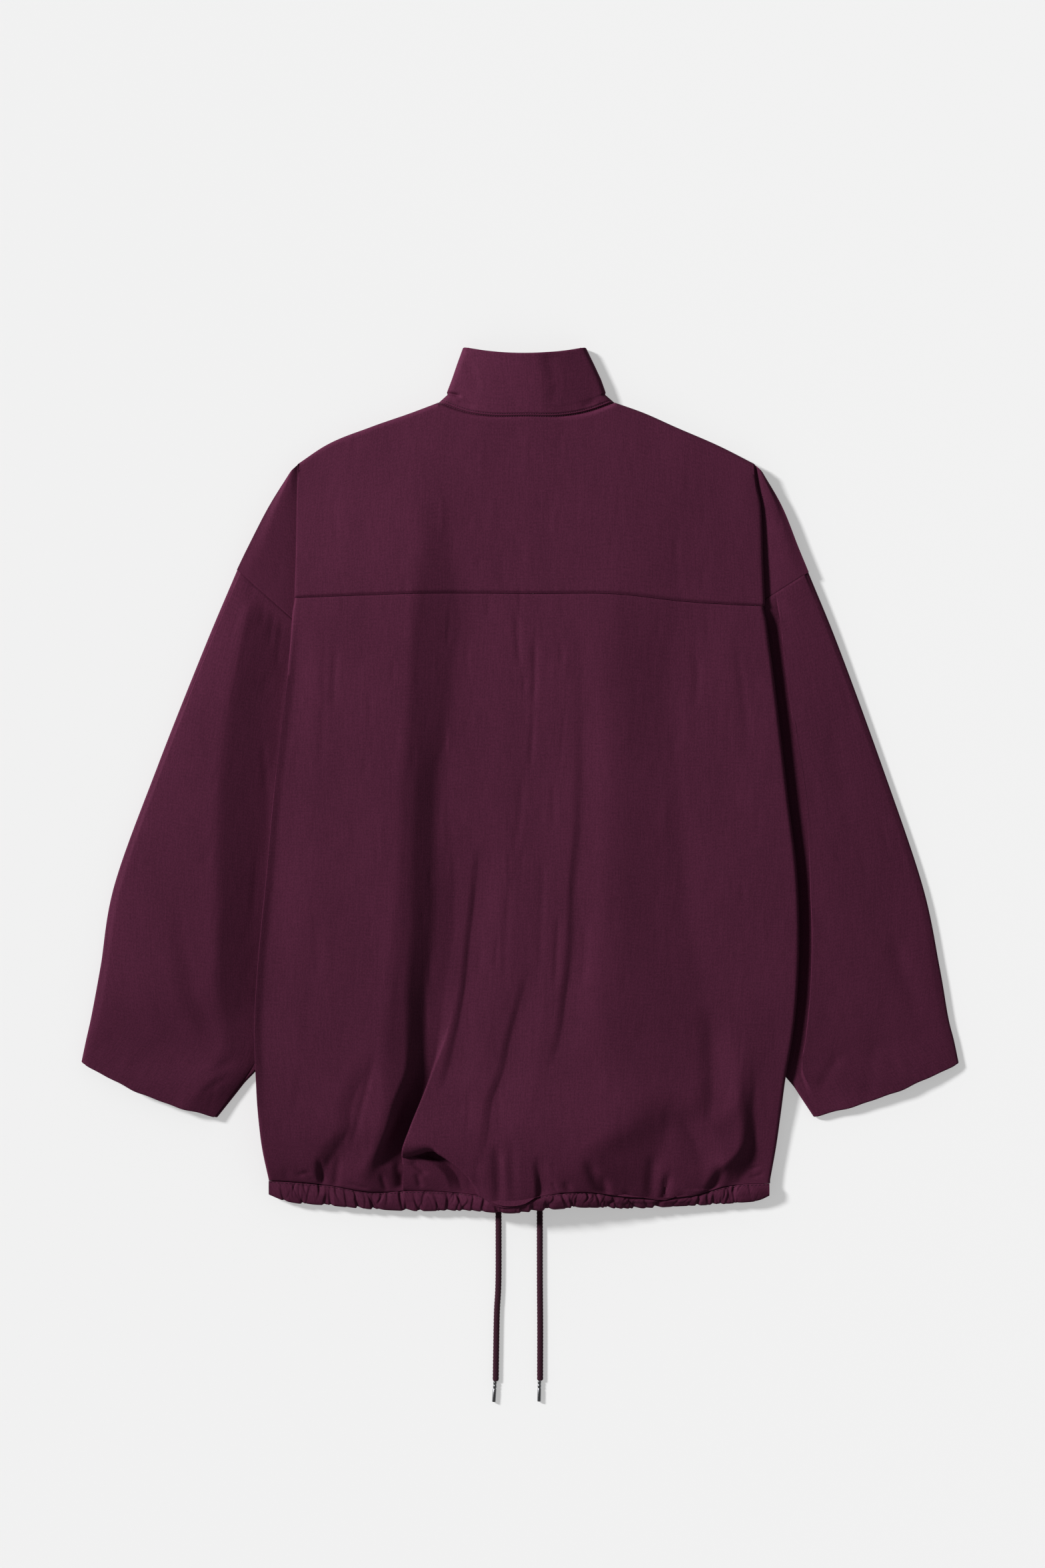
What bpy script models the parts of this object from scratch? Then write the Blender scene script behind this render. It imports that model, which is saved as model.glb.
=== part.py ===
"""Padded jacket lying flat on its front: yoke, back, collar, sleeves, fronts, gathered hem and cord ends."""
import math
from collections import namedtuple

import bmesh
import bpy
import numpy as np

MM = 0.001

# Cloth, in millimetres like every table below
WALL = 4.0
SEAM_GAP = 0.4
REST_GAP = 0.3
FRONT_TOP = WALL + REST_GAP
RIM_TOP = FRONT_TOP + WALL
CORNER_GAP = 1.2

# Rolls and spreads of the body
SHOULDER_ROLL = 24.0
HEM_ROLL = 24.0
EDGE_SPREAD = 34.0
LIP_LENGTH = 10.0
FRONT_TUCK = 3.0
THIN_SHARE = 0.35
LIP_THINNING = 0.62
LIP_GONE = -362.0
LIP_FULL = -330.0
YOKE_FOLD_INSET = 10.0
YOKE_FOLD_FADE = 0.06

# Yoke's dropped shoulders, where they lie at sleeve height
DROP_ROLL = 14.0
DROP_HEIGHT = 10.4
DROP_LOW = 9.0

# Sleeves
SLEEVE_EDGE = 9.2
SLEEVE_SWELL = 2.2
SLEEVE_SWELL_FROM = 0.06
SLEEVE_SWELL_TO = 0.80
SLEEVE_CLEARANCE = 1.6

# Collar
COLLAR_EDGE = 12.0
COLLAR_BACK_HEIGHT = 18.0
COLLAR_TOP_HEIGHT = 15.0
COLLAR_CROWN_POWER = 2.2
COLLAR_FRONT_DROP = 56.0
COLLAR_TOP_FRONT_DROP = 26.0
COLLAR_TOP_SAG = 6.5
COLLAR_ROWS = (0.0, 0.08, 0.22, 0.5, 0.8, 1.0)

# Placket between the fronts
PLACKET_CENTRE = -1.0
PLACKET_WIDTH = 26.0

# Hem casing
FRONT_HEM = -375.0
FRONT_LOW = -240.0
CASING_FRONT_HEIGHT = 18.0
CASING_END_TUCK = 6.0
CASING_END_LIFT = 8.0
CASING_ROLL = 4.5
GATHER_HEIGHT = 1.5
GATHER_SCALLOP = 1.2
CASING_SWELL = 1.0
END_PUFF = 0.4
END_PUFF_REACH = 20.0

# Drawcord ends and their metal tips
CORD_WIDTH = 5.8
CORD_THICK = 3.4
CORD_SPACING = 12.0
CORD_SIDES = 10
TIP_DIAMETER = 3.2
TIP_LENGTH = 19.0
TIP_SIDES = 12
TIP_CHAMFER = 0.4

# How finely each piece is divided
BACK_ROWS = (*np.linspace(0.0, 0.06, 4)[:-1], *np.linspace(0.06, 0.94, 18), 0.962, 0.98, 0.992, 1.0)
BACK_COLUMNS = 27
NECK_STEPS = 9
SHOULDER_STEPS = 6
FRONT_NECK_STEPS = 7
FRONT_COLUMNS = 8
CASING_COLUMNS = 25

PLUM = (0.082, 0.019, 0.042, 1.0)
CORD_PLUM = (0.060, 0.014, 0.032, 1.0)
GUNMETAL = (0.16, 0.16, 0.17, 1.0)

Side = namedtuple("Side", "y left right under roll")
BODY_SIDES = (
    Side(-373.0, -234.0, 232.8, 4.3, 9.0),
    Side(-342.0, -240.2, 238.4, 4.3, 10.5),
    Side(-312.0, -243.6, 242.6, 4.3, 11.6),
    Side(-278.0, -245.6, 247.0, 9.5, 12.0),
    Side(-235.0, -247.0, 253.9, 9.6, 12.0),
    Side(-174.0, -244.0, 258.5, 9.6, 12.0),
    Side(-91.0, -236.0, 257.0, 9.6, 12.0),
    Side(-19.0, -229.6, 249.6, 9.6, 12.0),
    Side(105.0, -215.5, 233.6, 9.6, 12.0),
    Side(152.0, -212.0, 228.5, 9.6, 12.0),
    Side(220.0, -209.4, 225.4, 9.6, 11.0),
    Side(294.0, -206.0, 217.0, 9.6, 9.0),
)

Plateau = namedtuple("Plateau", "y height")
PLATEAU = (
    Plateau(-372.0, 25.5),
    Plateau(-300.0, 28.5),
    Plateau(-150.0, 27.5),
    Plateau(0.0, 26.5),
    Plateau(165.0, 25.5),
    Plateau(250.0, 23.5),
    Plateau(352.0, 20.0),
)

FoldRow = namedtuple("FoldRow", "y x depth left right")
FOLDS = {
    "main": (
        FoldRow(-374.0, -133.0, 3.0, 16.0, 24.0),
        FoldRow(-340.0, -111.0, 11.0, 17.0, 30.0),
        FoldRow(-290.0, -92.0, 12.5, 18.0, 38.0),
        FoldRow(-179.0, -78.0, 10.5, 18.0, 38.0),
        FoldRow(-64.0, -66.0, 8.5, 18.0, 36.0),
        FoldRow(49.0, -65.0, 6.0, 20.0, 34.0),
        FoldRow(163.0, -57.0, 3.5, 28.0, 34.0),
        FoldRow(252.0, -56.0, 0.0, 30.0, 34.0),
    ),
    "broad_right": (
        FoldRow(-310.0, 186.0, 0.0, 36.0, 18.0),
        FoldRow(-231.0, 176.0, 5.0, 44.0, 20.0),
        FoldRow(-205.0, 164.0, 7.0, 44.0, 22.0),
        FoldRow(-36.0, 153.0, 7.0, 42.0, 24.0),
        FoldRow(106.0, 134.0, 5.0, 34.0, 24.0),
        FoldRow(215.0, 128.0, 0.0, 30.0, 24.0),
    ),
    "diagonal": (
        FoldRow(-372.0, -40.0, 0.0, 14.0, 18.0),
        FoldRow(-325.0, -32.6, 5.0, 13.0, 18.0),
        FoldRow(-267.0, -18.3, 4.0, 13.0, 16.0),
        FoldRow(-190.0, 6.0, 0.0, 12.0, 14.0),
    ),
    "lower_right": (
        FoldRow(-374.0, 205.0, 4.0, 12.0, 12.0),
        FoldRow(-325.0, 216.0, 7.0, 14.0, 12.0),
        FoldRow(-286.0, 210.0, 5.0, 14.0, 12.0),
        FoldRow(-225.0, 204.0, 0.0, 14.0, 12.0),
    ),
    "hem_right": (
        FoldRow(-374.0, 120.0, 3.0, 15.0, 13.0),
        FoldRow(-335.0, 130.0, 4.5, 15.0, 13.0),
        FoldRow(-285.0, 140.0, 0.0, 15.0, 13.0),
    ),
    "lower_left": (
        FoldRow(-374.0, -184.0, 4.0, 13.0, 13.0),
        FoldRow(-345.0, -176.0, 3.0, 14.0, 14.0),
        FoldRow(-262.0, -140.0, 0.0, 14.0, 14.0),
    ),
    "centre_crease": (
        FoldRow(-278.0, 29.5, 0.0, 10.0, 10.0),
        FoldRow(-107.0, 45.0, 2.0, 11.0, 10.0),
        FoldRow(-7.0, 55.0, 2.0, 11.0, 10.0),
        FoldRow(98.0, 53.6, 2.0, 11.0, 10.0),
        FoldRow(172.0, 42.5, 0.0, 10.0, 10.0),
    ),
}

PlanRow = namedtuple("PlanRow", "x y")
YOKE_SEAM = (
    PlanRow(-216.0, 168.6),
    PlanRow(-206.0, 168.9),
    PlanRow(-142.0, 171.2),
    PlanRow(-65.0, 173.0),
    PlanRow(12.0, 172.5),
    PlanRow(90.0, 172.0),
    PlanRow(155.0, 165.2),
    PlanRow(217.0, 161.6),
    PlanRow(232.0, 161.0),
)
LEFT_SHOULDER = (
    PlanRow(-206.0, 294.0),
    PlanRow(-183.2, 309.4),
    PlanRow(-138.6, 328.0),
    PlanRow(-101.4, 341.0),
    PlanRow(-76.0, 350.6),
)
NECK_SEAM = (
    PlanRow(-76.0, 350.6),
    PlanRow(-62.3, 345.0),
    PlanRow(-48.0, 340.1),
    PlanRow(-30.7, 337.3),
    PlanRow(6.0, 336.8),
    PlanRow(41.9, 337.3),
    PlanRow(66.0, 342.2),
    PlanRow(79.7, 347.2),
    PlanRow(88.0, 350.6),
)
RIGHT_SHOULDER = (
    PlanRow(88.0, 350.6),
    PlanRow(115.0, 341.0),
    PlanRow(144.2, 328.0),
    PlanRow(186.9, 309.4),
    PlanRow(217.0, 294.0),
)
LEFT_DROP = (
    PlanRow(-214.0, 286.0),
    PlanRow(-234.1, 253.6),
    PlanRow(-253.3, 216.4),
    PlanRow(-263.2, 195.6),
)
RIGHT_DROP = (
    PlanRow(225.5, 286.0),
    PlanRow(244.0, 253.6),
    PlanRow(258.9, 216.4),
    PlanRow(268.2, 193.4),
)
LEFT_FOLD_FOOT = (
    PlanRow(-207.5, 292.0),
    PlanRow(-209.8, 250.0),
    PlanRow(-213.0, 195.0),
    PlanRow(-214.6, 152.2),
)
RIGHT_FOLD_FOOT = (
    PlanRow(218.8, 292.0),
    PlanRow(227.6, 250.0),
    PlanRow(229.9, 205.0),
    PlanRow(232.0, 172.6),
)

CollarEnd = namedtuple("CollarEnd", "rise left right y")
COLLAR_ENDS = (
    CollarEnd(0.0, -76.0, 88.0, 350.6),
    CollarEnd(0.16, -68.5, 79.7, 358.6),
    CollarEnd(0.4, -64.0, 73.5, 372.0),
    CollarEnd(1.0, -53.0, 61.1, 402.4),
)

SleeveRow = namedtuple("SleeveRow", "outer_x outer_y inner_x inner_y")
LEFT_SLEEVE = (
    SleeveRow(-263.5, 195.2, -203.6, 141.6),
    SleeveRow(-294.0, 123.0, -204.0, 92.0),
    SleeveRow(-338.0, 12.0, -218.0, -18.0),
    SleeveRow(-378.0, -98.0, -227.4, -126.0),
    SleeveRow(-391.0, -174.0, -233.6, -200.0),
    SleeveRow(-399.5, -220.0, -242.5, -252.0),
    SleeveRow(-404.6, -243.0, -262.0, -285.0),
    SleeveRow(-408.8, -263.0, -282.0, -315.0),
)
RIGHT_SLEEVE = (
    SleeveRow(268.5, 193.0, 214.2, 158.4),
    SleeveRow(297.0, 123.0, 223.0, 88.0),
    SleeveRow(337.6, 12.0, 237.5, -18.0),
    SleeveRow(375.0, -98.5, 246.0, -126.0),
    SleeveRow(390.9, -174.0, 245.5, -205.0),
    SleeveRow(399.0, -221.0, 247.6, -258.0),
    SleeveRow(404.4, -243.0, 262.0, -287.0),
    SleeveRow(408.8, -264.0, 277.5, -315.0),
)

CasingRow = namedtuple("CasingRow", "x seam bottom height")
CASING = (
    CasingRow(-236.0, -373.5, -385.5, 9.3),
    CasingRow(-222.0, -374.0, -391.2, 9.6),
    CasingRow(-176.0, -378.0, -396.6, 10.8),
    CasingRow(-140.0, -384.0, -399.8, 12.4),
    CasingRow(-100.0, -382.5, -401.6, 15.0),
    CasingRow(-50.0, -385.0, -401.2, 20.5),
    CasingRow(-8.0, -390.5, -402.7, 24.0),
    CasingRow(30.0, -384.5, -399.0, 24.5),
    CasingRow(62.0, -383.0, -397.4, 23.5),
    CasingRow(100.0, -387.5, -399.0, 22.0),
    CasingRow(150.0, -388.0, -397.0, 19.5),
    CasingRow(206.0, -376.6, -393.8, 15.0),
    CasingRow(222.0, -376.0, -391.8, 13.5),
    CasingRow(234.0, -376.0, -386.5, 12.6),
)
GATHERS = (
    -233, -222, -206, -188, -176, -169, -161, -150, -137, -122, -112, -105, -96, -87, -78, -67, -57, -46,
    -34, -24, -11, 3, 14, 23, 31, 38, 46, 56, 66, 78, 90, 103, 117, 130, 146, 160, 172, 184, 193, 202, 211,
    221, 231,
)

CordRow = namedtuple("CordRow", "x y")
LEFT_CORD = (
    CordRow(-20.2, FRONT_HEM - CASING_FRONT_HEIGHT - REST_GAP),
    CordRow(-20.2, -465.0),
    CordRow(-21.7, -497.0),
    CordRow(-22.4, -534.0),
    CordRow(-22.8, -561.0),
)
RIGHT_CORD = (
    CordRow(18.3, FRONT_HEM - CASING_FRONT_HEIGHT - REST_GAP),
    CordRow(18.4, -465.0),
    CordRow(18.7, -510.0),
    CordRow(18.6, -560.5),
)


def through(knots, values, at):
    """Smooth curve through a table, held level beyond its ends."""
    knots = np.asarray(knots, float)
    values = np.asarray(values, float)
    at = np.clip(np.asarray(at, float), knots[0], knots[-1])
    slopes = np.gradient(values, knots)
    place = np.clip(np.searchsorted(knots, at, side="right") - 1, 0, len(knots) - 2)
    step = knots[place + 1] - knots[place]
    part = (at - knots[place]) / step
    rest = 1.0 - part
    ends = values[place] * (1.0 + 2.0 * part) * rest ** 2 + values[place + 1] * (3.0 - 2.0 * part) * part ** 2
    return ends + step * (slopes[place] * part * rest ** 2 - slopes[place + 1] * rest * part ** 2)


def column(table, name):
    return np.array([getattr(row, name) for row in table])


def across(table, x):
    """A plan table read as y for a given x."""
    return through(column(table, "x"), column(table, "y"), x)


def path(table, part):
    """A plan table read as a smooth line, part 0 at its first row and 1 at its last."""
    places = np.linspace(0.0, 1.0, len(table))
    return np.stack([through(places, column(table, name), part) for name in ("x", "y")], axis=-1)


def side(name, y):
    return through(column(BODY_SIDES, "y"), column(BODY_SIDES, name), y)


def casing(name, x):
    return through(column(CASING, "x"), column(CASING, name), x)


def quarter_round(part):
    """0 at an edge and 1 from one radius in, like the shoulder of a roll."""
    part = np.clip(part, 0.0, 1.0)
    return np.sqrt(1.0 - (1.0 - part) ** 2)


def smooth_step(low, high, value):
    part = np.clip((value - low) / (high - low), 0.0, 1.0)
    return part * part * (3.0 - 2.0 * part)


def fold_depth(x, y):
    """Depth of every large fold at a place on the back."""
    total = np.zeros(np.broadcast(x, y).shape)
    for rows in FOLDS.values():
        knots = column(rows, "y")
        inside = (y >= knots[0]) & (y <= knots[-1])
        offset = x - through(knots, column(rows, "x"), y)
        left = through(knots, column(rows, "left"), y)
        right = through(knots, column(rows, "right"), y)
        width = np.where(offset < 0.0, left, right)
        depth = np.maximum(through(knots, column(rows, "depth"), y), 0.0)
        total += np.where(inside, depth * np.exp(-(offset / width) ** 2), 0.0)
    return total


def body_height(x, y):
    """Outer height of the back between its rolled side edges."""
    roll = side("roll", y)
    edge = side("under", y) + roll
    from_left = np.maximum(x - side("left", y) - roll / 2.0, 0.0)
    from_right = np.maximum(side("right", y) - roll / 2.0 - x, 0.0)
    spread = (1.0 - np.exp(-from_left / EDGE_SPREAD)) * (1.0 - np.exp(-from_right / EDGE_SPREAD))
    plateau = through(column(PLATEAU, "y"), column(PLATEAU, "height"), y)
    crown = edge + (plateau - edge) * spread - fold_depth(x, y) * np.minimum(1.0, 1.3 * spread)
    above_hem = y - casing("seam", x)
    low = casing("height", x)
    return low + (crown - low) * quarter_round(above_hem / HEM_ROLL)


def collar_height(x, left, right, crest):
    """Outer height of the collar's back wall across its width."""
    half = (right - left) / 2.0
    place = np.clip(np.abs(x - (left + right) / 2.0) / half, 0.0, 1.0)
    from_end = half * (1.0 - place)
    edge = COLLAR_EDGE / 2.0 * (1.0 + quarter_round(from_end / (COLLAR_EDGE / 2.0)))
    return edge + (crest - COLLAR_EDGE) * (1.0 - place ** COLLAR_CROWN_POWER)


def unit(vectors):
    return vectors / np.maximum(np.linalg.norm(vectors, axis=-1, keepdims=True), 1e-9)


def differences(points, axis, closed):
    if closed:
        return np.roll(points, -1, axis) - np.roll(points, 1, axis)
    return np.gradient(points, axis=axis)


def inner_wall(outer, closed=False, thickness=WALL):
    """The outer points moved in by the cloth's thickness, upright at the first and last rows."""
    along_row = unit(differences(outer, 1, closed))
    normals = unit(np.cross(along_row, differences(outer, 0, False)))
    if closed:
        flip = np.sign(np.sum(normals * (outer - outer.mean(axis=1, keepdims=True))))
    else:
        flip = np.sign(np.mean(normals[:, outer.shape[1] // 2, 2]))
    normals = normals * flip
    for row in (0, -1):
        cross_line = np.array([0.0, 1.0, 0.0])
        if closed:
            span = outer[row, 0] - outer[row].mean(axis=0)
            cross_line = unit(np.array([-span[1], span[0], 0.0]))
        lean = normals[row] @ cross_line
        normals[row] = unit(normals[row] - lean[:, None] * cross_line)
    return outer - thickness * normals


def material(name, colour, roughness, metallic=0.0):
    made = bpy.data.materials.new(name)
    made.use_nodes = True
    shader = made.node_tree.nodes["Principled BSDF"]
    shader.inputs["Base Color"].default_value = colour
    shader.inputs["Roughness"].default_value = roughness
    shader.inputs["Metallic"].default_value = metallic
    return made


def add_mesh(name, points, faces, colour, roughness=0.6, metallic=0.0):
    mesh = bpy.data.meshes.new(name)
    mesh.from_pydata([tuple(point) for point in np.asarray(points) * MM], [], faces)
    work = bmesh.new()
    work.from_mesh(mesh)
    bmesh.ops.recalc_face_normals(work, faces=work.faces)
    work.to_mesh(mesh)
    work.free()
    mesh.materials.append(material(name, colour, roughness, metallic))
    made = bpy.data.objects.new(name, mesh)
    bpy.context.scene.collection.objects.link(made)
    return made


def add_wall(name, outer, inner, closed=False):
    """One closed cloth wall between an outer and an inner grid of points."""
    rows, columns = outer.shape[:2]
    layer = rows * columns
    spans = columns if closed else columns - 1
    faces = []

    def corner(row, col, base):
        return base + row * columns + col % columns

    for base in (0, layer):
        for row in range(rows - 1):
            for col in range(spans):
                quad = [corner(row, col, base), corner(row, col + 1, base)]
                quad += [corner(row + 1, col + 1, base), corner(row + 1, col, base)]
                faces.append(quad if base else quad[::-1])
    for row in (0, rows - 1):
        for col in range(spans):
            rim = [corner(row, col, 0), corner(row, col + 1, 0)]
            rim += [corner(row, col + 1, layer), corner(row, col, layer)]
            faces.append(rim if row == 0 else rim[::-1])
    if not closed:
        for col in (0, columns - 1):
            for row in range(rows - 1):
                rim = [corner(row, col, 0), corner(row, col, layer)]
                rim += [corner(row + 1, col, layer), corner(row + 1, col, 0)]
                faces.append(rim if col == 0 else rim[::-1])
    points = np.concatenate([outer.reshape(-1, 3), inner.reshape(-1, 3)])
    return add_mesh(name, points, faces, PLUM)


def neck_stations(left, right):
    """Places across the folded collar, close together in the roll at each end."""
    half = COLLAR_EDGE / 2.0
    turn = half * (1.0 - math.cos(math.radians(45.0)))
    middle = np.linspace(left + half, right - half, NECK_STEPS)
    return np.concatenate([[left, left + turn], middle, [right - turn, right]])


def make_yoke():
    """Yoke from shoulders and neck to the yoke seam, stepping down at each side to the dropped shoulder."""
    rows = np.array([0.0, 0.03, 0.08, 0.15, 0.25, 0.4, 0.55, 0.7, 0.85, 1.0])
    drop_parts = np.array([0.0, 0.2, 0.45, 0.72, 1.0])
    neck_left, neck_right = NECK_SEAM[0].x, NECK_SEAM[-1].x
    left_x = np.linspace(LEFT_SHOULDER[0].x, neck_left - CORNER_GAP, SHOULDER_STEPS)
    neck_x = neck_stations(neck_left, neck_right)[1:-1]
    right_x = np.linspace(neck_right + CORNER_GAP, RIGHT_SHOULDER[-1].x, SHOULDER_STEPS)
    top_x = np.concatenate([left_x, neck_x, right_x])
    neck_y = across(NECK_SEAM, neck_x) - SEAM_GAP
    top_y = np.concatenate([across(LEFT_SHOULDER, left_x), neck_y, across(RIGHT_SHOULDER, right_x)])
    neck_z = np.maximum(collar_height(neck_x, neck_left, neck_right, COLLAR_BACK_HEIGHT), RIM_TOP)
    top_z = np.concatenate([np.full(SHOULDER_STEPS, RIM_TOP), neck_z, np.full(SHOULDER_STEPS, RIM_TOP)])
    share = (top_x - top_x[0]) / (top_x[-1] - top_x[0])
    seam_from = side("left", YOKE_SEAM[0].y) + side("roll", YOKE_SEAM[0].y) / 2.0
    seam_to = side("right", YOKE_SEAM[-1].y) - side("roll", YOKE_SEAM[-1].y) / 2.0
    seam_x = seam_from + share * (seam_to - seam_from)
    seam_y = across(YOKE_SEAM, seam_x)
    grid = []
    for part in rows:
        x = top_x + part * (seam_x - top_x)
        y = top_y + part * (seam_y - top_y)
        rise = np.sin(math.pi / 2.0 * np.clip((top_y - y) / SHOULDER_ROLL, 0.0, 1.0))
        body = np.stack([x, y, top_z + (body_height(x, y) - top_z) * rise], axis=-1)
        left_drop = drop_row(LEFT_DROP, LEFT_FOLD_FOOT, part, drop_parts)
        right_drop = drop_row(RIGHT_DROP, RIGHT_FOLD_FOOT, part, drop_parts)
        row = [left_drop, fold_wall(left_drop[-1], body[0]), body]
        row += [fold_wall(right_drop[-1], body[-1])[::-1], right_drop[::-1]]
        grid.append(np.concatenate(row))
    outer = np.array(grid)
    return add_wall("back_yoke", outer, outer - (0.0, 0.0, WALL))


def drop_row(outline, foot, part, drop_parts):
    """One row of a dropped shoulder from its outline to the foot of the fold."""
    start = path(outline, part)
    end = path(foot, part)
    plan = start + drop_parts[:, None] * (end - start)
    length = np.linalg.norm(end - start)
    top = DROP_HEIGHT + (DROP_LOW - DROP_HEIGHT) * drop_parts ** 2
    z = RIM_TOP + (top - RIM_TOP) * np.sin(math.pi / 2.0 * np.clip(drop_parts * length / DROP_ROLL, 0.0, 1.0))
    return np.column_stack([plan, z])


def fold_wall(foot, crest):
    """Points up the fold between the dropped shoulder and the body's side edge."""
    parts = np.array([[0.18, 0.25], [0.35, 0.58], [0.62, 0.86]])
    plan = foot[:2] + parts[:, :1] * (crest[:2] - foot[:2])
    height = foot[2] + parts[:, 1:] * (crest[2] - foot[2])
    return np.concatenate([plan, height], axis=1)


def make_back():
    """Lower back from the yoke seam to the hem casing, rolled under at both sides."""
    angles = np.radians([-90.0, -45.0, 0.0, 45.0])
    shares = np.linspace(0.0, 1.0, BACK_COLUMNS)
    grid, depths = [], []
    for part in BACK_ROWS:
        inset = YOKE_FOLD_INSET * (1.0 - smooth_step(0.0, YOKE_FOLD_FADE, part))
        ends = []
        for table_end, sign, name in ((0, -1.0, "left"), (-1, 1.0, "right")):
            guess = YOKE_SEAM[table_end].y + part * (CASING[table_end].seam - YOKE_SEAM[table_end].y)
            edge_x = side(name, guess) - sign * inset
            seam = across(YOKE_SEAM, edge_x) - CORNER_GAP
            edge_y = seam + part * (casing("seam", edge_x) + SEAM_GAP - seam)
            ends.append((edge_x, edge_y, side("roll", guess) / 2.0))
        x_from, x_to = ends[0][0] + ends[0][2], ends[1][0] - ends[1][2]
        x = x_from + shares * (x_to - x_from)
        seam = across(YOKE_SEAM, x) - SEAM_GAP
        y = seam + part * (casing("seam", x) + SEAM_GAP - seam)
        top = np.stack([x, y, body_height(x, y)], axis=-1)
        left_edge = edge_roll(top[0], ends[0][1], 1.0, angles)
        right_edge = edge_roll(top[-1], ends[1][1], -1.0, angles)
        grid.append(np.concatenate([left_edge, top, right_edge[::-1]]))
        thin = []
        for z, edge in ((top[0, 2], ends[0]), (top[-1, 2], ends[1])):
            full = smooth_step(LIP_GONE, LIP_FULL, edge[1])
            depth = min(WALL, THIN_SHARE * (z - FRONT_TOP)) * (1.0 - LIP_THINNING * 4.0 * full * (1.0 - full))
            thin.append(np.full(len(left_edge), depth))
        depths.append(np.concatenate([thin[0], np.full(len(top), WALL), thin[1]]))
    outer = np.array(grid)
    return add_wall("back_panel", outer, inner_wall(outer, thickness=np.array(depths)[:, :, None]))


def edge_roll(crest, y, inward, angles):
    """Lip and roll of a side edge, from the lip's end on the front to just below the crest."""
    x, _, top = crest
    full = float(smooth_step(LIP_GONE, LIP_FULL, y))
    under = FRONT_TOP + full * (float(side("under", y)) - FRONT_TOP)
    half = (top - under) / 2.0
    reach = float(side("roll", y)) / 2.0
    roll = [(x - inward * reach * math.cos(a), y, under + half + half * math.sin(a)) for a in angles]
    lip = [(x + inward * 2.0 * LIP_LENGTH, y, FRONT_TOP), (x + inward * LIP_LENGTH, y, under)]
    low = np.array(lip + roll[:2])
    edge = roll[2]
    shares = (0.0, 0.25, 0.5, 0.75)
    upright = np.array([(edge[0], y, FRONT_TOP + share * (edge[2] - FRONT_TOP)) for share in shares])
    return np.concatenate([upright + full * (low - upright), roll[2:]])


def make_sleeve(name, table):
    """Flattened tube lying on the floor from the armhole to the open cuff."""
    rows = np.linspace(0.0, 1.0, 16)
    half = SLEEVE_EDGE / 2.0
    places = np.linspace(0.0, 1.0, len(table))
    turns = np.radians([-90.0, -45.0, 0.0, 45.0])
    shares = np.linspace(0.0, 1.0, 10)
    under = np.linspace(1.0, 0.0, 6)[1:-1]
    grid = []
    for part in rows:
        outer = np.array([through(places, column(table, end), part) for end in ("outer_x", "outer_y")])
        inner = np.array([through(places, column(table, end), part) for end in ("inner_x", "inner_y")])
        line = unit(inner - outer)
        length = np.linalg.norm(inner - outer)
        reach = [half - half * math.cos(a) for a in turns]
        height = [half + half * math.sin(a) for a in turns]
        flat = half + shares * (length - 2.0 * half)
        swell = (flat / length - SLEEVE_SWELL_FROM) / (SLEEVE_SWELL_TO - SLEEVE_SWELL_FROM)
        swell = SLEEVE_SWELL * np.sin(math.pi * np.clip(swell, 0.0, 1.0)) ** 1.3
        back = half + under * (length - 2.0 * half)
        place = np.concatenate([reach, flat, [length - value for value in reach[::-1]], back])
        level = np.concatenate([height, SLEEVE_EDGE + swell, height[::-1], np.zeros(len(back))])
        plan = outer + place[:, None] * line
        grid.append(np.column_stack([plan, level]))
    outer = np.array(grid)
    return add_wall(name, outer, inner_wall(outer, closed=True), closed=True)


def neck_front(x):
    """Front neckline, dropped below the back one."""
    left, right = NECK_SEAM[0].x, NECK_SEAM[-1].x
    place = (x - (left + right) / 2.0) / ((right - left - COLLAR_EDGE) / 2.0)
    return NECK_SEAM[0].y - COLLAR_FRONT_DROP * (1.0 - place ** 2)


def make_collar():
    """Stand collar folded flat: back wall above, both front ends below, meeting the placket."""
    half = COLLAR_EDGE / 2.0
    rises = column(COLLAR_ENDS, "rise")
    low_turn = math.radians(-45.0)
    base_x = neck_stations(NECK_SEAM[0].x, NECK_SEAM[-1].x)[1:-1]
    base_sag = COLLAR_ENDS[0].y - across(NECK_SEAM, base_x)
    grid = []
    for part in COLLAR_ROWS:
        left = through(rises, column(COLLAR_ENDS, "left"), part)
        right = through(rises, column(COLLAR_ENDS, "right"), part)
        y_end = through(rises, column(COLLAR_ENDS, "y"), part)
        crest = COLLAR_BACK_HEIGHT + part * (COLLAR_TOP_HEIGHT - COLLAR_BACK_HEIGHT)
        middle, width = (left + right) / 2.0, (right - left) / 2.0
        x = neck_stations(left, right)[1:-1]
        sag = (1.0 - part) * base_sag + part * COLLAR_TOP_SAG * (1.0 - ((x - middle) / width) ** 2)
        back = np.stack([x, y_end - sag, collar_height(x, left, right, crest)], axis=-1)
        drop = COLLAR_FRONT_DROP + part * (COLLAR_TOP_FRONT_DROP - COLLAR_FRONT_DROP)
        fronts = []
        for sign, end in ((-1.0, left), (1.0, right)):
            flat_x = np.linspace(placket_edge(sign), end - sign * half, FRONT_NECK_STEPS)
            flat_y = y_end - drop * (1.0 - ((flat_x - middle) / (width - half)) ** 2)
            flat = np.stack([flat_x, flat_y, np.zeros(FRONT_NECK_STEPS)], axis=-1)
            turn = []
            for angle in (low_turn, 0.0):
                inset = half * (1.0 - math.cos(angle))
                turn.append((end - sign * inset, y_end, half + half * math.sin(angle)))
            fronts.append(np.concatenate([flat, turn]))
        grid.append(np.concatenate([fronts[0], back, fronts[1][::-1]]))
    outer = np.array(grid)
    return add_wall("collar", outer, inner_wall(outer))


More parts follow.
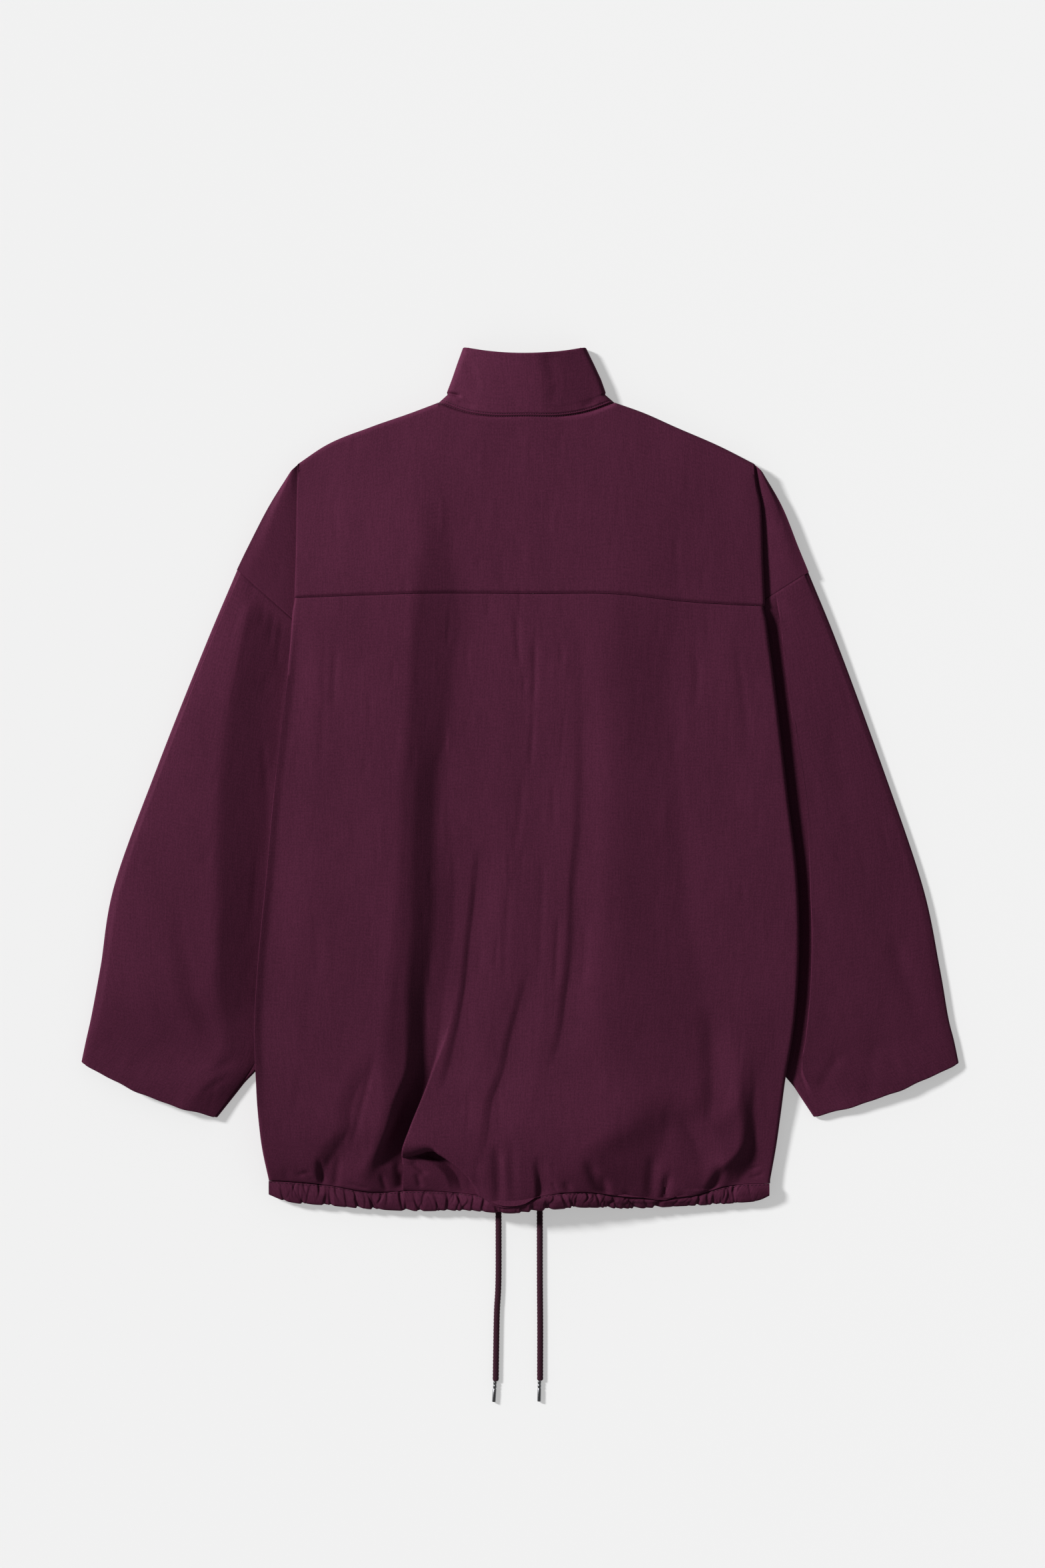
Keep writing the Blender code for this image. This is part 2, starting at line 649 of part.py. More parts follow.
def placket_edge(sign):
    """Where the pieces beside the placket begin."""
    return PLACKET_CENTRE + sign * (PLACKET_WIDTH / 2.0 + SEAM_GAP)


def front_side(table, outline, y, sign):
    """Where a front ends at its outer side: shoulder, armhole, then beside the sleeve and the body."""
    body = side("left" if sign < 0 else "right", y) - sign * FRONT_TUCK
    armhole = (table[0].outer_x, table[0].outer_y), (table[0].inner_x, table[0].inner_y)
    if y > armhole[0][1] + SEAM_GAP:
        knots = sorted((row.y, row.x) for row in outline)
        return np.interp(y, [k[0] for k in knots], [k[1] for k in knots])
    if y > armhole[1][1]:
        part = (y - SEAM_GAP - armhole[1][1]) / (armhole[0][1] - armhole[1][1])
        return armhole[1][0] + np.clip(part, 0.0, 1.0) * (armhole[0][0] - armhole[1][0])
    inner_y = column(table, "inner_y")[::-1]
    tucked = through(inner_y, column(table, "inner_x")[::-1], y) - sign * SLEEVE_CLEARANCE
    return max(body, tucked) if sign < 0 else min(body, tucked)


def make_front(name, table, outline, sign):
    """Plain front lying on the floor under the back."""
    edge = placket_edge(sign)
    neck_end = (NECK_SEAM[0] if sign < 0 else NECK_SEAM[-1]).x - sign * COLLAR_EDGE / 2.0
    neck_x = np.linspace(edge, neck_end, FRONT_NECK_STEPS)
    neck_y = neck_front(neck_x) - SEAM_GAP
    armhole_out, armhole_in = table[0].outer_y + 2.0 * SEAM_GAP, table[0].inner_y
    heights = np.concatenate([
        np.linspace(FRONT_HEM + SEAM_GAP, FRONT_LOW, 6)[:-1],
        np.linspace(FRONT_LOW, armhole_in, 9)[:-1],
        np.linspace(armhole_in, armhole_out, 4)[:-1],
        np.linspace(armhole_out, neck_y[0], 5)[:-1],
        neck_y,
    ])
    starts = np.concatenate([np.full(len(heights) - FRONT_NECK_STEPS, edge), neck_x])
    grid = []
    for y, start in zip(heights, starts):
        x = np.linspace(start, front_side(table, outline, y, sign), FRONT_COLUMNS)
        grid.append(np.stack([x, np.full(FRONT_COLUMNS, y), np.zeros(FRONT_COLUMNS)], axis=-1))
    outer = np.array(grid)
    return add_wall(name, outer, outer + (0.0, 0.0, WALL))


def make_placket():
    """Straight fly strip between the fronts, from the collar's edge to the hem."""
    half = PLACKET_WIDTH / 2.0
    heights = np.linspace(FRONT_HEM - CASING_FRONT_HEIGHT, COLLAR_ENDS[-1].y - COLLAR_TOP_FRONT_DROP, 9)
    xs = PLACKET_CENTRE + half * np.array([-1.0, -0.6, 0.6, 1.0])
    outer = np.array([[(x, y, 0.0) for x in xs] for y in heights])
    return add_wall("front_placket", outer, outer + (0.0, 0.0, WALL))


def make_back_casing():
    """Gathered casing of the back hem: puffs between sharp gathers, rolled down at the lower edge."""
    valleys = np.array(GATHERS, float)
    spots = valleys[:-1, None] + np.diff(valleys)[:, None] * np.array([0.0, 0.3, 0.7])
    stations = np.append(spots.ravel(), valleys[-1])
    puffs = np.append(np.tile([0.0, 1.0, 1.0], len(spots)), 0.0)
    from_end = np.minimum(stations - valleys[0], valleys[-1] - stations)
    puffs = puffs * (END_PUFF + (1.0 - END_PUFF) * np.minimum(1.0, from_end / END_PUFF_REACH))
    seam = casing("seam", stations) - SEAM_GAP
    bottom = casing("bottom", stations) + GATHER_SCALLOP * (1.0 - puffs)
    height = casing("height", stations)
    swell = GATHER_HEIGHT * (puffs - 0.5)
    turned = CASING_ROLL * (1.0 - math.cos(math.radians(45.0)))
    lines = (
        (seam, height, 0.0, -WALL),
        (seam + 0.4 * (bottom - seam), height + CASING_SWELL + swell, 0.0, -WALL),
        (bottom + CASING_ROLL, height + swell, 0.1 * WALL, -WALL),
        (bottom + turned, height - turned, 0.55 * WALL, -0.8 * WALL),
        (bottom, height - CASING_ROLL, WALL, -0.1 * WALL),
    )
    outer = np.array([np.stack([stations, y, z], axis=-1) for y, z, _, _ in lines])
    inner = outer + np.array([(0.0, y_move, z_move) for _, _, y_move, z_move in lines])[:, None, :]
    inner[1:3, :, 2] -= swell
    return add_wall("hem_back", outer, inner)


def make_front_casing(name, sign):
    """Plain casing of one front, flat on the floor below the back casing."""
    edge = placket_edge(sign)
    reach = (CASING[0] if sign < 0 else CASING[-1]).x - sign * CASING_END_TUCK
    x = np.linspace(edge, reach, CASING_COLUMNS)
    part = (x - edge) / (reach - edge)
    top = np.full_like(x, FRONT_HEM)
    bottom = top - CASING_FRONT_HEIGHT + CASING_END_LIFT * part ** 3
    wave = GATHER_SCALLOP / 2.0 * np.cos(math.pi * np.arange(CASING_COLUMNS)) * smooth_step(0.0, 0.3, part)
    floor = np.zeros_like(x)
    lines = [top, (top + bottom) / 2.0, bottom + wave]
    outer = np.array([np.stack([x, line, floor], axis=-1) for line in lines])
    return add_wall(name, outer, outer + (0.0, 0.0, WALL))


def make_cord(name, table):
    """Flat drawcord end lying on the floor."""
    line = path(table, np.linspace(0.0, 1.0, 200))
    steps = np.concatenate([[0.0], np.cumsum(np.linalg.norm(np.diff(line, axis=0), axis=1))])
    count = int(round(steps[-1] / CORD_SPACING)) + 1
    at = np.linspace(0.0, steps[-1], count)
    oval = bpy.data.curves.new(name + "_oval", "CURVE")
    ring = oval.splines.new("POLY")
    ring.points.add(CORD_SIDES - 1)
    ring.use_cyclic_u = True
    for index, point in enumerate(ring.points):
        turn = -2.0 * math.pi * index / CORD_SIDES
        point.co = (CORD_WIDTH / 2.0 * math.cos(turn) * MM, CORD_THICK / 2.0 * math.sin(turn) * MM, 0.0, 1.0)
    guide = bpy.data.objects.new(name + "_oval", oval)
    guide.hide_render = True
    bpy.context.scene.collection.objects.link(guide)
    curve = bpy.data.curves.new(name, "CURVE")
    curve.dimensions = "3D"
    curve.bevel_mode = "OBJECT"
    curve.bevel_object = guide
    curve.use_fill_caps = True
    spline = curve.splines.new("POLY")
    spline.points.add(count - 1)
    for point, place in zip(spline.points, at):
        x, y = np.interp(place, steps, line[:, 0]), np.interp(place, steps, line[:, 1])
        point.co = (x * MM, y * MM, CORD_THICK / 2.0 * MM, 1.0)
    curve.materials.append(material(name, CORD_PLUM, 0.7))
    made = bpy.data.objects.new(name, curve)
    bpy.context.scene.collection.objects.link(made)
    return made


def make_tip(name, table, lean):
    """Metal tube crimped on a cord's end."""
    top = np.array([table[-1].x - 0.6, table[-1].y - REST_GAP])
    line = unit(np.array([lean, -1.0]))
    aside = np.array([-line[1], line[0]])
    radius = TIP_DIAMETER / 2.0
    rings = [(0.0, radius - TIP_CHAMFER), (TIP_CHAMFER, radius), (TIP_LENGTH - TIP_CHAMFER, radius),
             (TIP_LENGTH, radius - TIP_CHAMFER)]
    points, faces = [], []
    for place, size in rings:
        for index in range(TIP_SIDES):
            turn = 2.0 * math.pi * index / TIP_SIDES
            plan = top + line * place + aside * size * math.cos(turn)
            points.append((plan[0], plan[1], radius + size * math.sin(turn)))
    for ring in range(len(rings) - 1):
        for index in range(TIP_SIDES):
            after = (index + 1) % TIP_SIDES
            base, above = ring * TIP_SIDES, (ring + 1) * TIP_SIDES
            faces.append([base + index, base + after, above + after, above + index])
    last = (len(rings) - 1) * TIP_SIDES
    faces.append(list(range(TIP_SIDES))[::-1])
    faces.append(list(range(last, last + TIP_SIDES)))
    return add_mesh(name, points, faces, GUNMETAL, roughness=0.35, metallic=1.0)


def build():
    for old in list(bpy.data.objects):
        bpy.data.objects.remove(old)
    left_outline = LEFT_DROP + LEFT_SHOULDER
    right_outline = RIGHT_DROP + RIGHT_SHOULDER
    make_yoke()
    make_back()
    make_collar()
    make_sleeve("sleeve_left", LEFT_SLEEVE)
    make_sleeve("sleeve_right", RIGHT_SLEEVE)
    make_front("front_left", LEFT_SLEEVE, left_outline, -1.0)
    make_front("front_right", RIGHT_SLEEVE, right_outline, 1.0)
    make_placket()
    make_back_casing()
    make_front_casing("hem_front_left", -1.0)
    make_front_casing("hem_front_right", 1.0)
    make_cord("drawcord_left", LEFT_CORD)
    make_cord("drawcord_right", RIGHT_CORD)
    make_tip("cord_tip_left", LEFT_CORD, -0.06)
    make_tip("cord_tip_right", RIGHT_CORD, -0.02)


build()
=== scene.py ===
import math

import bmesh
import bpy
import numpy as np
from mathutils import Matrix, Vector


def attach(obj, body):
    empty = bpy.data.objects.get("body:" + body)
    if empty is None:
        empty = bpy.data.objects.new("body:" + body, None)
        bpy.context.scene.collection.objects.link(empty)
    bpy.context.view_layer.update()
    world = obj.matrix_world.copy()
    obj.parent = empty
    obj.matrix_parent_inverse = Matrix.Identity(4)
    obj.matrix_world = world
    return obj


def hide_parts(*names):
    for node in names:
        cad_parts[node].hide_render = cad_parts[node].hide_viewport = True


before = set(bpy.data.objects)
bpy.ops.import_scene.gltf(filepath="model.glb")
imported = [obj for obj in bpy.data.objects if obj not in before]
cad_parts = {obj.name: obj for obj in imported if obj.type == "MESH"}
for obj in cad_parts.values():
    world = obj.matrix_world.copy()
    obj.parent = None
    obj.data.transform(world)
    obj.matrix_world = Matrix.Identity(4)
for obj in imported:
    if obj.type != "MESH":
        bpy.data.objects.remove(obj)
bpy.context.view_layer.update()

scene = bpy.context.scene
mm = 0.001  # every size below is in millimetres
print("solids loaded:", len(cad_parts))


# camera, straight down as in the photograph
camera = {"lens": 85.0, "sensor": 36.0, "x": 2.2, "y": -4.3, "frameHeight": 1458.2, "sharpAt": 10.0,
          "tone": 0.85}
cameraData = bpy.data.cameras.new("camera")
cameraData.lens = camera["lens"]
cameraData.sensor_width = camera["sensor"]
cameraObject = bpy.data.objects.new("camera", cameraData)
cameraRise = camera["lens"] / camera["sensor"] * camera["frameHeight"] + camera["sharpAt"]
cameraObject.location = (camera["x"] * mm, camera["y"] * mm, cameraRise * mm)
scene.collection.objects.link(cameraObject)
scene.camera = cameraObject
scene.view_settings.view_transform = "Standard"
scene.view_settings.gamma = camera["tone"]


def through(knots, values, at):  # smooth curve through a short table
    knots = np.asarray(knots, float)
    values = np.asarray(values, float)
    at = np.clip(np.asarray(at, float), knots[0], knots[-1])
    slopes = np.gradient(values, knots)
    low = np.clip(np.searchsorted(knots, at, side="right") - 1, 0, len(knots) - 2)
    step = knots[low + 1] - knots[low]
    part = (at - knots[low]) / step
    rest = 1 - part
    ends = values[low] * (1 + 2 * part) * rest ** 2 + values[low + 1] * (3 - 2 * part) * part ** 2
    return ends + step * (slopes[low] * part * rest ** 2 - slopes[low + 1] * rest * part ** 2)


def column(rows, index):
    return np.array([row[index] for row in rows], float)


def read(rows, at, index=1):  # a table read by its first column
    return through(column(rows, 0), column(rows, index), at)


def readStraight(rows, at, index=1):  # the same, with straight lines between the rows
    return np.interp(at, column(rows, 0), column(rows, index))


def stations(rows):  # places along a piece, from a table of shares and the count reached at each
    return np.interp(np.arange(rows[-1][1] + 1), column(rows, 1), column(rows, 0))


def trace(rows, part, first=0):  # a table read as a line in plan, from 0 to 1
    places = np.linspace(0, 1, len(rows))
    return np.stack([through(places, column(rows, first + i), part) for i in (0, 1)], axis=-1)


def ease(low, high, value):  # smoothly from 0 to 1
    part = np.clip((value - low) / (high - low), 0, 1)
    return part * part * (3 - 2 * part)


def quarter(part):  # rises like a quarter circle, then stays at 1
    part = np.clip(part, 0, 1)
    return np.sqrt(1 - (1 - part) ** 2)


def unit(vectors):
    return vectors / np.maximum(np.linalg.norm(vectors, axis=-1, keepdims=True), 1e-9)


# short soft troughs that fade at both ends: start, end, depth, width
def strokes(x, y, rows, fadeIn=0.3, fadeOut=0.7, widths=3):
    total = np.zeros(np.broadcast(x, y).shape)
    for x0, y0, x1, y1, depth, width in rows:
        dx, dy = x1 - x0, y1 - y0
        length = math.hypot(dx, dy)
        reach = widths * width
        near = (x > min(x0, x1) - reach) & (x < max(x0, x1) + reach)
        near &= (y > min(y0, y1) - reach) & (y < max(y0, y1) + reach)
        px, py = x[near] - x0, y[near] - y0
        part = (px * dx + py * dy) / length ** 2
        off = (px * dy - py * dx) / length / width
        total[near] += depth * np.exp(-off ** 2) * ease(0, fadeIn, part) * (1 - ease(fadeOut, 1, part))
    return total


# scattered fine creases, and a few fine ridges
def crinkles(seed, count, box, lean, length=(14, 60), width=(1.8, 3.6), depth=0.16, sway=4,
             uneven=(0.25, 0.8)):
    rng = np.random.default_rng(seed)
    rows = []
    for _ in range(count):
        x, y = rng.uniform(box[0], box[2]), rng.uniform(box[1], box[3])
        turn = math.radians(lean + rng.normal(0, sway))
        half = rng.uniform(*length) / 2
        dx, dy = half * math.sin(turn), half * math.cos(turn)
        rows.append((x - dx, y - dy, x + dx, y + dy, depth * rng.normal(*uneven), rng.uniform(*width)))
    return rows


def blur(grid, closed, times=3):  # evens out a grid of points
    for _ in range(times):
        side = np.roll(grid, 1, 1) + np.roll(grid, -1, 1)
        if not closed:
            side[:, 0] = 2 * grid[:, 0]
            side[:, -1] = 2 * grid[:, -1]
        grid = 0.5 * grid + 0.25 * side
        middle = grid[1:-1] * 0.5 + 0.25 * (grid[:-2] + grid[2:])
        grid = np.concatenate([grid[:1], middle, grid[-1:]])
    return grid


def inside(outer, thickness, closed=False):  # the cloth's inner face
    soft = blur(outer, closed)
    across = np.roll(soft, -1, 1) - np.roll(soft, 1, 1) if closed else np.gradient(soft, axis=1)
    normals = unit(np.cross(unit(across), np.gradient(soft, axis=0)))
    if closed:
        facing = np.sign(np.sum(normals * (outer - outer.mean(axis=1, keepdims=True))))
    else:
        facing = np.sign(np.mean(normals[:, outer.shape[1] // 2, 2]))
    return outer - np.asarray(thickness)[..., None] * facing * normals


def roundCap(edge, nextIn, inner, steps=3):  # half-round turn at an open edge, from face to face
    middle = (edge + inner) / 2
    arm = (edge - inner) / 2
    ahead = unit(edge - nextIn) * np.linalg.norm(arm, axis=-1, keepdims=True)
    turns = np.linspace(0, math.pi, steps + 2)[1:-1]
    return np.array([middle + arm * math.cos(t) + ahead * math.sin(t) for t in turns])


def clothUv(outer):  # flat position of each point, measured along the cloth
    across = np.linalg.norm(np.diff(outer, axis=1), axis=-1)
    u = np.concatenate([np.zeros((len(outer), 1)), np.cumsum(across, axis=1)], axis=1)
    middle = outer.shape[1] // 2
    down = np.linalg.norm(np.diff(outer[:, middle], axis=0), axis=-1)
    v = np.concatenate([[0], np.cumsum(down)])
    return np.stack([u - u[:, middle:middle + 1], np.repeat(v[:, None], outer.shape[1], 1)], axis=-1) * mm


def gridFaces(order):  # four-sided faces between the rows of a grid of point numbers
    corners = [order[:-1, :-1], order[:-1, 1:], order[1:, 1:], order[1:, :-1]]
    return np.stack(corners, -1).reshape(-1, 4).tolist()


def tubeFaces(rings, sides):  # a tube with both ends closed
    order = np.arange(rings * sides).reshape(rings, sides)
    ends = [order[0].tolist()[::-1], order[-1].tolist()]
    return gridFaces(np.concatenate([order, order[:, :1]], 1)) + ends


def wallMesh(name, outer, inner, closed=False, caps=(None, None), coarse=4):  # one closed wall of cloth
    rows, cols = outer.shape[:2]
    span = cols if closed else cols - 1
    uv = clothUv(outer)
    points, marks = [outer.reshape(-1, 3)], [uv.reshape(-1, 2)]
    grid = np.arange(rows * cols).reshape(rows, cols)
    ring = np.concatenate([grid, grid[:, :1]], 1) if closed else grid
    faces = gridFaces(ring)
    keepRows = sorted({*range(0, rows, coarse), rows - 1})
    keepCols = sorted({*range(0, cols, coarse)} | (set() if closed else {cols - 1}))
    kept = np.zeros((rows, cols), bool)
    kept[np.ix_(keepRows, keepCols)] = True
    kept[[0, -1]] = True
    if not closed:
        kept[:, [0, -1]] = True
    index = np.full((rows, cols), -1)
    index[kept] = rows * cols + np.arange(kept.sum())
    points.append(inner[kept])
    marks.append(uv[kept])
    count = rows * cols + int(kept.sum())
    stops = keepCols + ([cols] if closed else [])
    for r0, r1 in zip(keepRows[:-1], keepRows[1:]):  # the hidden face is coarser, but for its border
        for c0, c1 in zip(stops[:-1], stops[1:]):
            loop = [index[r0, c % cols] for c in (range(c0, c1 + 1) if r0 == 0 else (c0, c1))]
            if not closed and c1 == cols - 1:
                loop += [index[r, c1] for r in range(r0 + 1, r1)]
            loop += [index[r1, c % cols] for c in (range(c1, c0 - 1, -1) if r1 == rows - 1 else (c1, c0))]
            if not closed and c0 == 0:
                loop += [index[r, 0] for r in range(r1 - 1, r0, -1)]
            faces.append(loop[::-1])
    for row, cap in ((0, caps[0]), (rows - 1, caps[1])):
        loops = [grid[row]]
        for extra in ([] if cap is None else cap):
            loops.append(count + np.arange(cols))
            points.append(extra)
            marks.append(uv[row])
            count += cols
        loops.append(index[row])
        for a, b in zip(loops[:-1], loops[1:]):
            for c in range(span):
                d = (c + 1) % cols
                face = [a[c], a[d], b[d], b[c]]
                faces.append(face[::-1] if row == 0 else face)
        if not closed and len(loops) > 2:
            faces.append([loop[0] for loop in loops])
            faces.append([loop[-1] for loop in loops])
    if not closed:
        for c in (0, cols - 1):
            for r in range(rows - 1):
                faces.append([grid[r, c], grid[r + 1, c], index[r + 1, c], index[r, c]])
    return solidMesh(name, np.concatenate(points), faces, np.concatenate(marks))


sharpTurn = 52.0  # degrees past which an edge of the cloth stays sharp


def solidMesh(name, points, faces, marks):
    mesh = bpy.data.meshes.new(name)
    mesh.from_pydata([tuple(p) for p in points * mm], [], [[int(i) for i in f] for f in faces])
    work = bmesh.new()
    work.from_mesh(mesh)
    bmesh.ops.recalc_face_normals(work, faces=work.faces)
    work.to_mesh(mesh)
    work.free()
    corners = np.zeros(len(mesh.loops), int)
    mesh.loops.foreach_get("vertex_index", corners)
    layer = mesh.uv_layers.new(name="cloth")
    layer.data.foreach_set("uv", marks[corners].astype(np.float32).ravel())
    mesh.shade_smooth()
    mesh.set_sharp_from_angle(angle=math.radians(sharpTurn))
    return mesh


def place(name, mesh, material, nodes):  # every piece is finished here
    made = bpy.data.objects.new(name, mesh)
    mesh.materials.append(material)
    scene.collection.objects.link(made)
    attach(made, "root")
    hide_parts(*nodes)
    print("made", name, "with", len(mesh.polygons), "faces")
    return made


# node trees: sockets worked like numbers
class Socket:
    def __init__(self, tree, socket):
        self.tree = tree
        self.socket = socket

    def node(self, kind, settings=None, output=0, **inputs):
        made = self.tree.nodes.new(kind)
        for name, value in (settings or {}).items():
            setattr(made, name, value)
        for name, value in inputs.items():
            key = int(name[1:]) if name[0] == "i" and name[1:].isdigit() else name.replace("_", " ")
            if isinstance(value, Socket):
                self.tree.links.new(value.socket, made.inputs[key])
            else:
                made.inputs[key].default_value = value
        return Socket(self.tree, made.outputs[output])

    def maths(self, operation, first, second=0.0):
        return self.node("ShaderNodeMath", {"operation": operation}, i0=first, i1=second)

    def __add__(self, other):
        return self.maths("ADD", self, other)

    __radd__ = __add__

    def __sub__(self, other):
        return self.maths("SUBTRACT", self, other)

    def __rsub__(self, other):
        return self.maths("SUBTRACT", other, self)

    def __mul__(self, other):
        return self.maths("MULTIPLY", self, other)

    __rmul__ = __mul__

    def __truediv__(self, other):
        return self.maths("DIVIDE", self, other)

    def __rtruediv__(self, other):
        return self.maths("DIVIDE", other, self)


def newMaterial(name, fixed):  # a Principled material and its first socket to build from
    made = bpy.data.materials.new(name)
    made.use_nodes = True
    shader = made.node_tree.nodes["Principled BSDF"]
    for key, value in fixed.items():
        shader.inputs[key].default_value = value
    start = Socket(made.node_tree, made.node_tree.nodes.new("ShaderNodeTexCoord").outputs["UV"])
    return made, shader, start


def feed(start, shader, **sockets):
    for name, value in sockets.items():
        start.tree.links.new(value.socket, shader.inputs[name.replace("_", " ")])


def noise(start, across, down, detail=2.0, roughness=0.5):  # noise with its own pitch each way
    scaled = start.node("ShaderNodeMapping", i0=start, Scale=(across, down, 1.0))
    return start.node("ShaderNodeTexNoise", {"noise_dimensions": "2D"}, Vector=scaled, Scale=1.0,
                      Detail=detail, Roughness=roughness)


def mixed(start, factor, first, second):
    return start.node("ShaderNodeMix", {"data_type": "RGBA"}, output=2, i0=factor, i6=first, i7=second)


shellLook = {
    "light": (0.0927, 0.0232, 0.0501, 1), "dark": (0.0665, 0.0164, 0.0359, 1),
    "grain": (780.0, 500.0, 2.0, 0.6), "slub": (620.0, 46.0, 3.0, 0.6),  # marks a metre, detail, roughness
    "weft": (60.0, 900.0, 2.0, 0.5), "cloud": (26.0, 9.0, 2.0, 0.5), "weave": 302.4033, "yarnWander": 0.6,
    "contrast": (0.38, 0.62), "roughness": 0.72, "slubShine": 0.14, "relief": 0.35, "reliefDepth": 0.0004,
    "sheenTint": (0.55, 0.14, 0.30, 1),
    "toneShares": (0.46, 0.24, 0.14, 0.16),  # grain, slub, weft, cloud
    "reliefShares": (0.45, 0.45, 0.2, 0.12)}  # grain, slub, weft, weave


def shellCloth():  # crinkled nylon: a heathered grain, slubs down the cloth and a fine plain weave
    look = shellLook
    made, shader, uv = newMaterial("shellCloth", {"Specular IOR Level": 0.03, "Sheen Weight": 0.01,
                                                  "Sheen Roughness": 0.35, "Sheen Tint": look["sheenTint"]})
    grain, slub, weft, cloud = (noise(uv, *look[name]) for name in ("grain", "slub", "weft", "cloud"))
    warpYarn, weftYarn = (uv.node("ShaderNodeTexWave", {"bands_direction": way}, Vector=uv,
                                  Scale=look["weave"], Distortion=look["yarnWander"]) for way in "XY")
    tones, reliefs = look["toneShares"], look["reliefShares"]
    tone = grain * tones[0] + slub * tones[1] + weft * tones[2] + cloud * tones[3]
    low, high = look["contrast"]
    tone = uv.node("ShaderNodeMapRange", Value=tone, From_Min=low, From_Max=high)
    colour = mixed(uv, tone, look["dark"], look["light"])
    relief = grain * reliefs[0] + slub * reliefs[1] + weft * reliefs[2] + warpYarn * weftYarn * reliefs[3]
    bump = uv.node("ShaderNodeBump", Strength=look["relief"], Distance=look["reliefDepth"], Height=relief)
    feed(uv, shader, Base_Color=colour, Roughness=look["roughness"] - slub * look["slubShine"], Normal=bump)
    return made


# the dark colour stands for painted shade in the braid's gaps, mixed with the fibre's own tone
cordLook = {"light": (0.070, 0.017, 0.036, 1), "dark": (0.030, 0.007, 0.016, 1),
            "fibre": (5200.0, 1400.0, 2.0), "roughness": 0.85, "fibreShine": 0.15, "relief": 0.3,
            "reliefDepth": 0.0002, "gapShadeShare": 0.75, "fibreShare": 0.25}


def cordBraid():  # the braid's own relief is in the mesh; this paints shade into its gaps and adds fibre
    look = cordLook
    made, shader, uv = newMaterial("cordBraid", {"Specular IOR Level": 0.2, "Sheen Weight": 0.08})
    # strand is low in the braid's gaps, where it darkens the colour as painted shade
    depth = uv.node("ShaderNodeAttribute", {"attribute_name": "strand"}, output=2)
    fibre = noise(uv, *look["fibre"])
    level = depth * look["gapShadeShare"] + fibre * look["fibreShare"]
    colour = mixed(uv, level, look["dark"], look["light"])
    bump = uv.node("ShaderNodeBump", Strength=look["relief"], Distance=look["reliefDepth"], Height=fibre)
    feed(uv, shader, Base_Color=colour, Roughness=look["roughness"] - fibre * look["fibreShine"], Normal=bump)
    return made


threadLook = {"light": (0.046, 0.010, 0.024, 1), "dark": (0.022, 0.004, 0.012, 1), "twist": 2600.0,
              "roughness": 0.7, "twistShine": 0.2}


def sewingThread():
    look = threadLook
    made, shader, uv = newMaterial("sewingThread", {"Specular IOR Level": 0.3})
    spot = uv.node("ShaderNodeTexCoord", output=3)  # object coordinates
    twist = uv.node("ShaderNodeTexNoise", Vector=spot, Scale=look["twist"], Detail=1.0)
    colour = mixed(uv, twist, look["dark"], look["light"])
    feed(uv, shader, Base_Color=colour, Roughness=look["roughness"] - twist * look["twistShine"])
    return made


tipLook = {"light": (0.30, 0.30, 0.31, 1), "dark": (0.10, 0.10, 0.108, 1), "brush": (700.0, 9000.0, 3.0),
           "wear": (900.0, 900.0, 3.0), "roughness": 0.26, "wearRough": 0.2, "relief": 0.2,
           "reliefDepth": 0.00008, "brushShare": 0.6, "wearShare": 0.4}


def tipMetal():  # dark satin metal, brushed round and a little worn
    look = tipLook
    made, shader, uv = newMaterial("tipMetal", {"Metallic": 1.0})
    brush, wear = noise(uv, *look["brush"]), noise(uv, *look["wear"])
    level = brush * look["brushShare"] + wear * look["wearShare"]
    colour = mixed(uv, level, look["dark"], look["light"])
    bump = uv.node("ShaderNodeBump", Strength=look["relief"], Distance=look["reliefDepth"], Height=brush)
    feed(uv, shader, Base_Color=colour, Roughness=look["roughness"] + wear * look["wearRough"], Normal=bump)
    return made


clothMaterial = shellCloth()
cordMaterial = cordBraid()
threadMaterial = sewingThread()
tipMaterial = tipMetal()
print("materials ready")


# drawcord ends, flat on the floor below the hem
cord = {"width": 5.8, "thick": 3.4, "strand": 0.30, "strandLevel": 0.95, "strands": 3, "pitch": 6.4,
        "sides": 24, "step": 0.55, "fine": 400, "endRound": 1.6, "endSize": 0.55, "lowest": 0.02,
        "girth": 2.6, "pathStep": 6,
        "left": [(-20.2, -393.3), (-20.2, -465), (-21.7, -497), (-22.4, -534), (-22.8, -561)],
        "right": [(18.3, -393.3), (18.4, -465), (18.7, -510), (18.6, -560.5)]}
tip = {"across": 3.2, "long": 19.0, "sides": 32, "lean": {"left": -0.06, "right": -0.02}, "over": (0.6, 0.3),
       "near": [(0.0, 0.45), (0.12, 0.14), (0.45, 0.0), (2.2, 0.0), (2.7, 0.28), (3.3, 0.28), (3.8, 0.0),
                (5.6, 0.0), (6.1, 0.28), (6.7, 0.28), (7.2, 0.0)],  # way along, and how far in: two crimps
       "far": [(0.4, 0.0), (0.1, 0.12), (0.0, 0.3), (0.1, 0.5), (1.8, 0.55)]}  # way back from the open end


def cordPath(rows):  # even steps along the cord
    line = trace(rows, np.linspace(0, 1, cord["fine"]))
    steps = np.concatenate([[0], np.cumsum(np.linalg.norm(np.diff(line, axis=0), axis=1))])
    at = np.linspace(0, steps[-1], int(steps[-1] / cord["step"]) + 1)
    return np.stack([np.interp(at, steps, line[:, 0]), np.interp(at, steps, line[:, 1])], -1), at


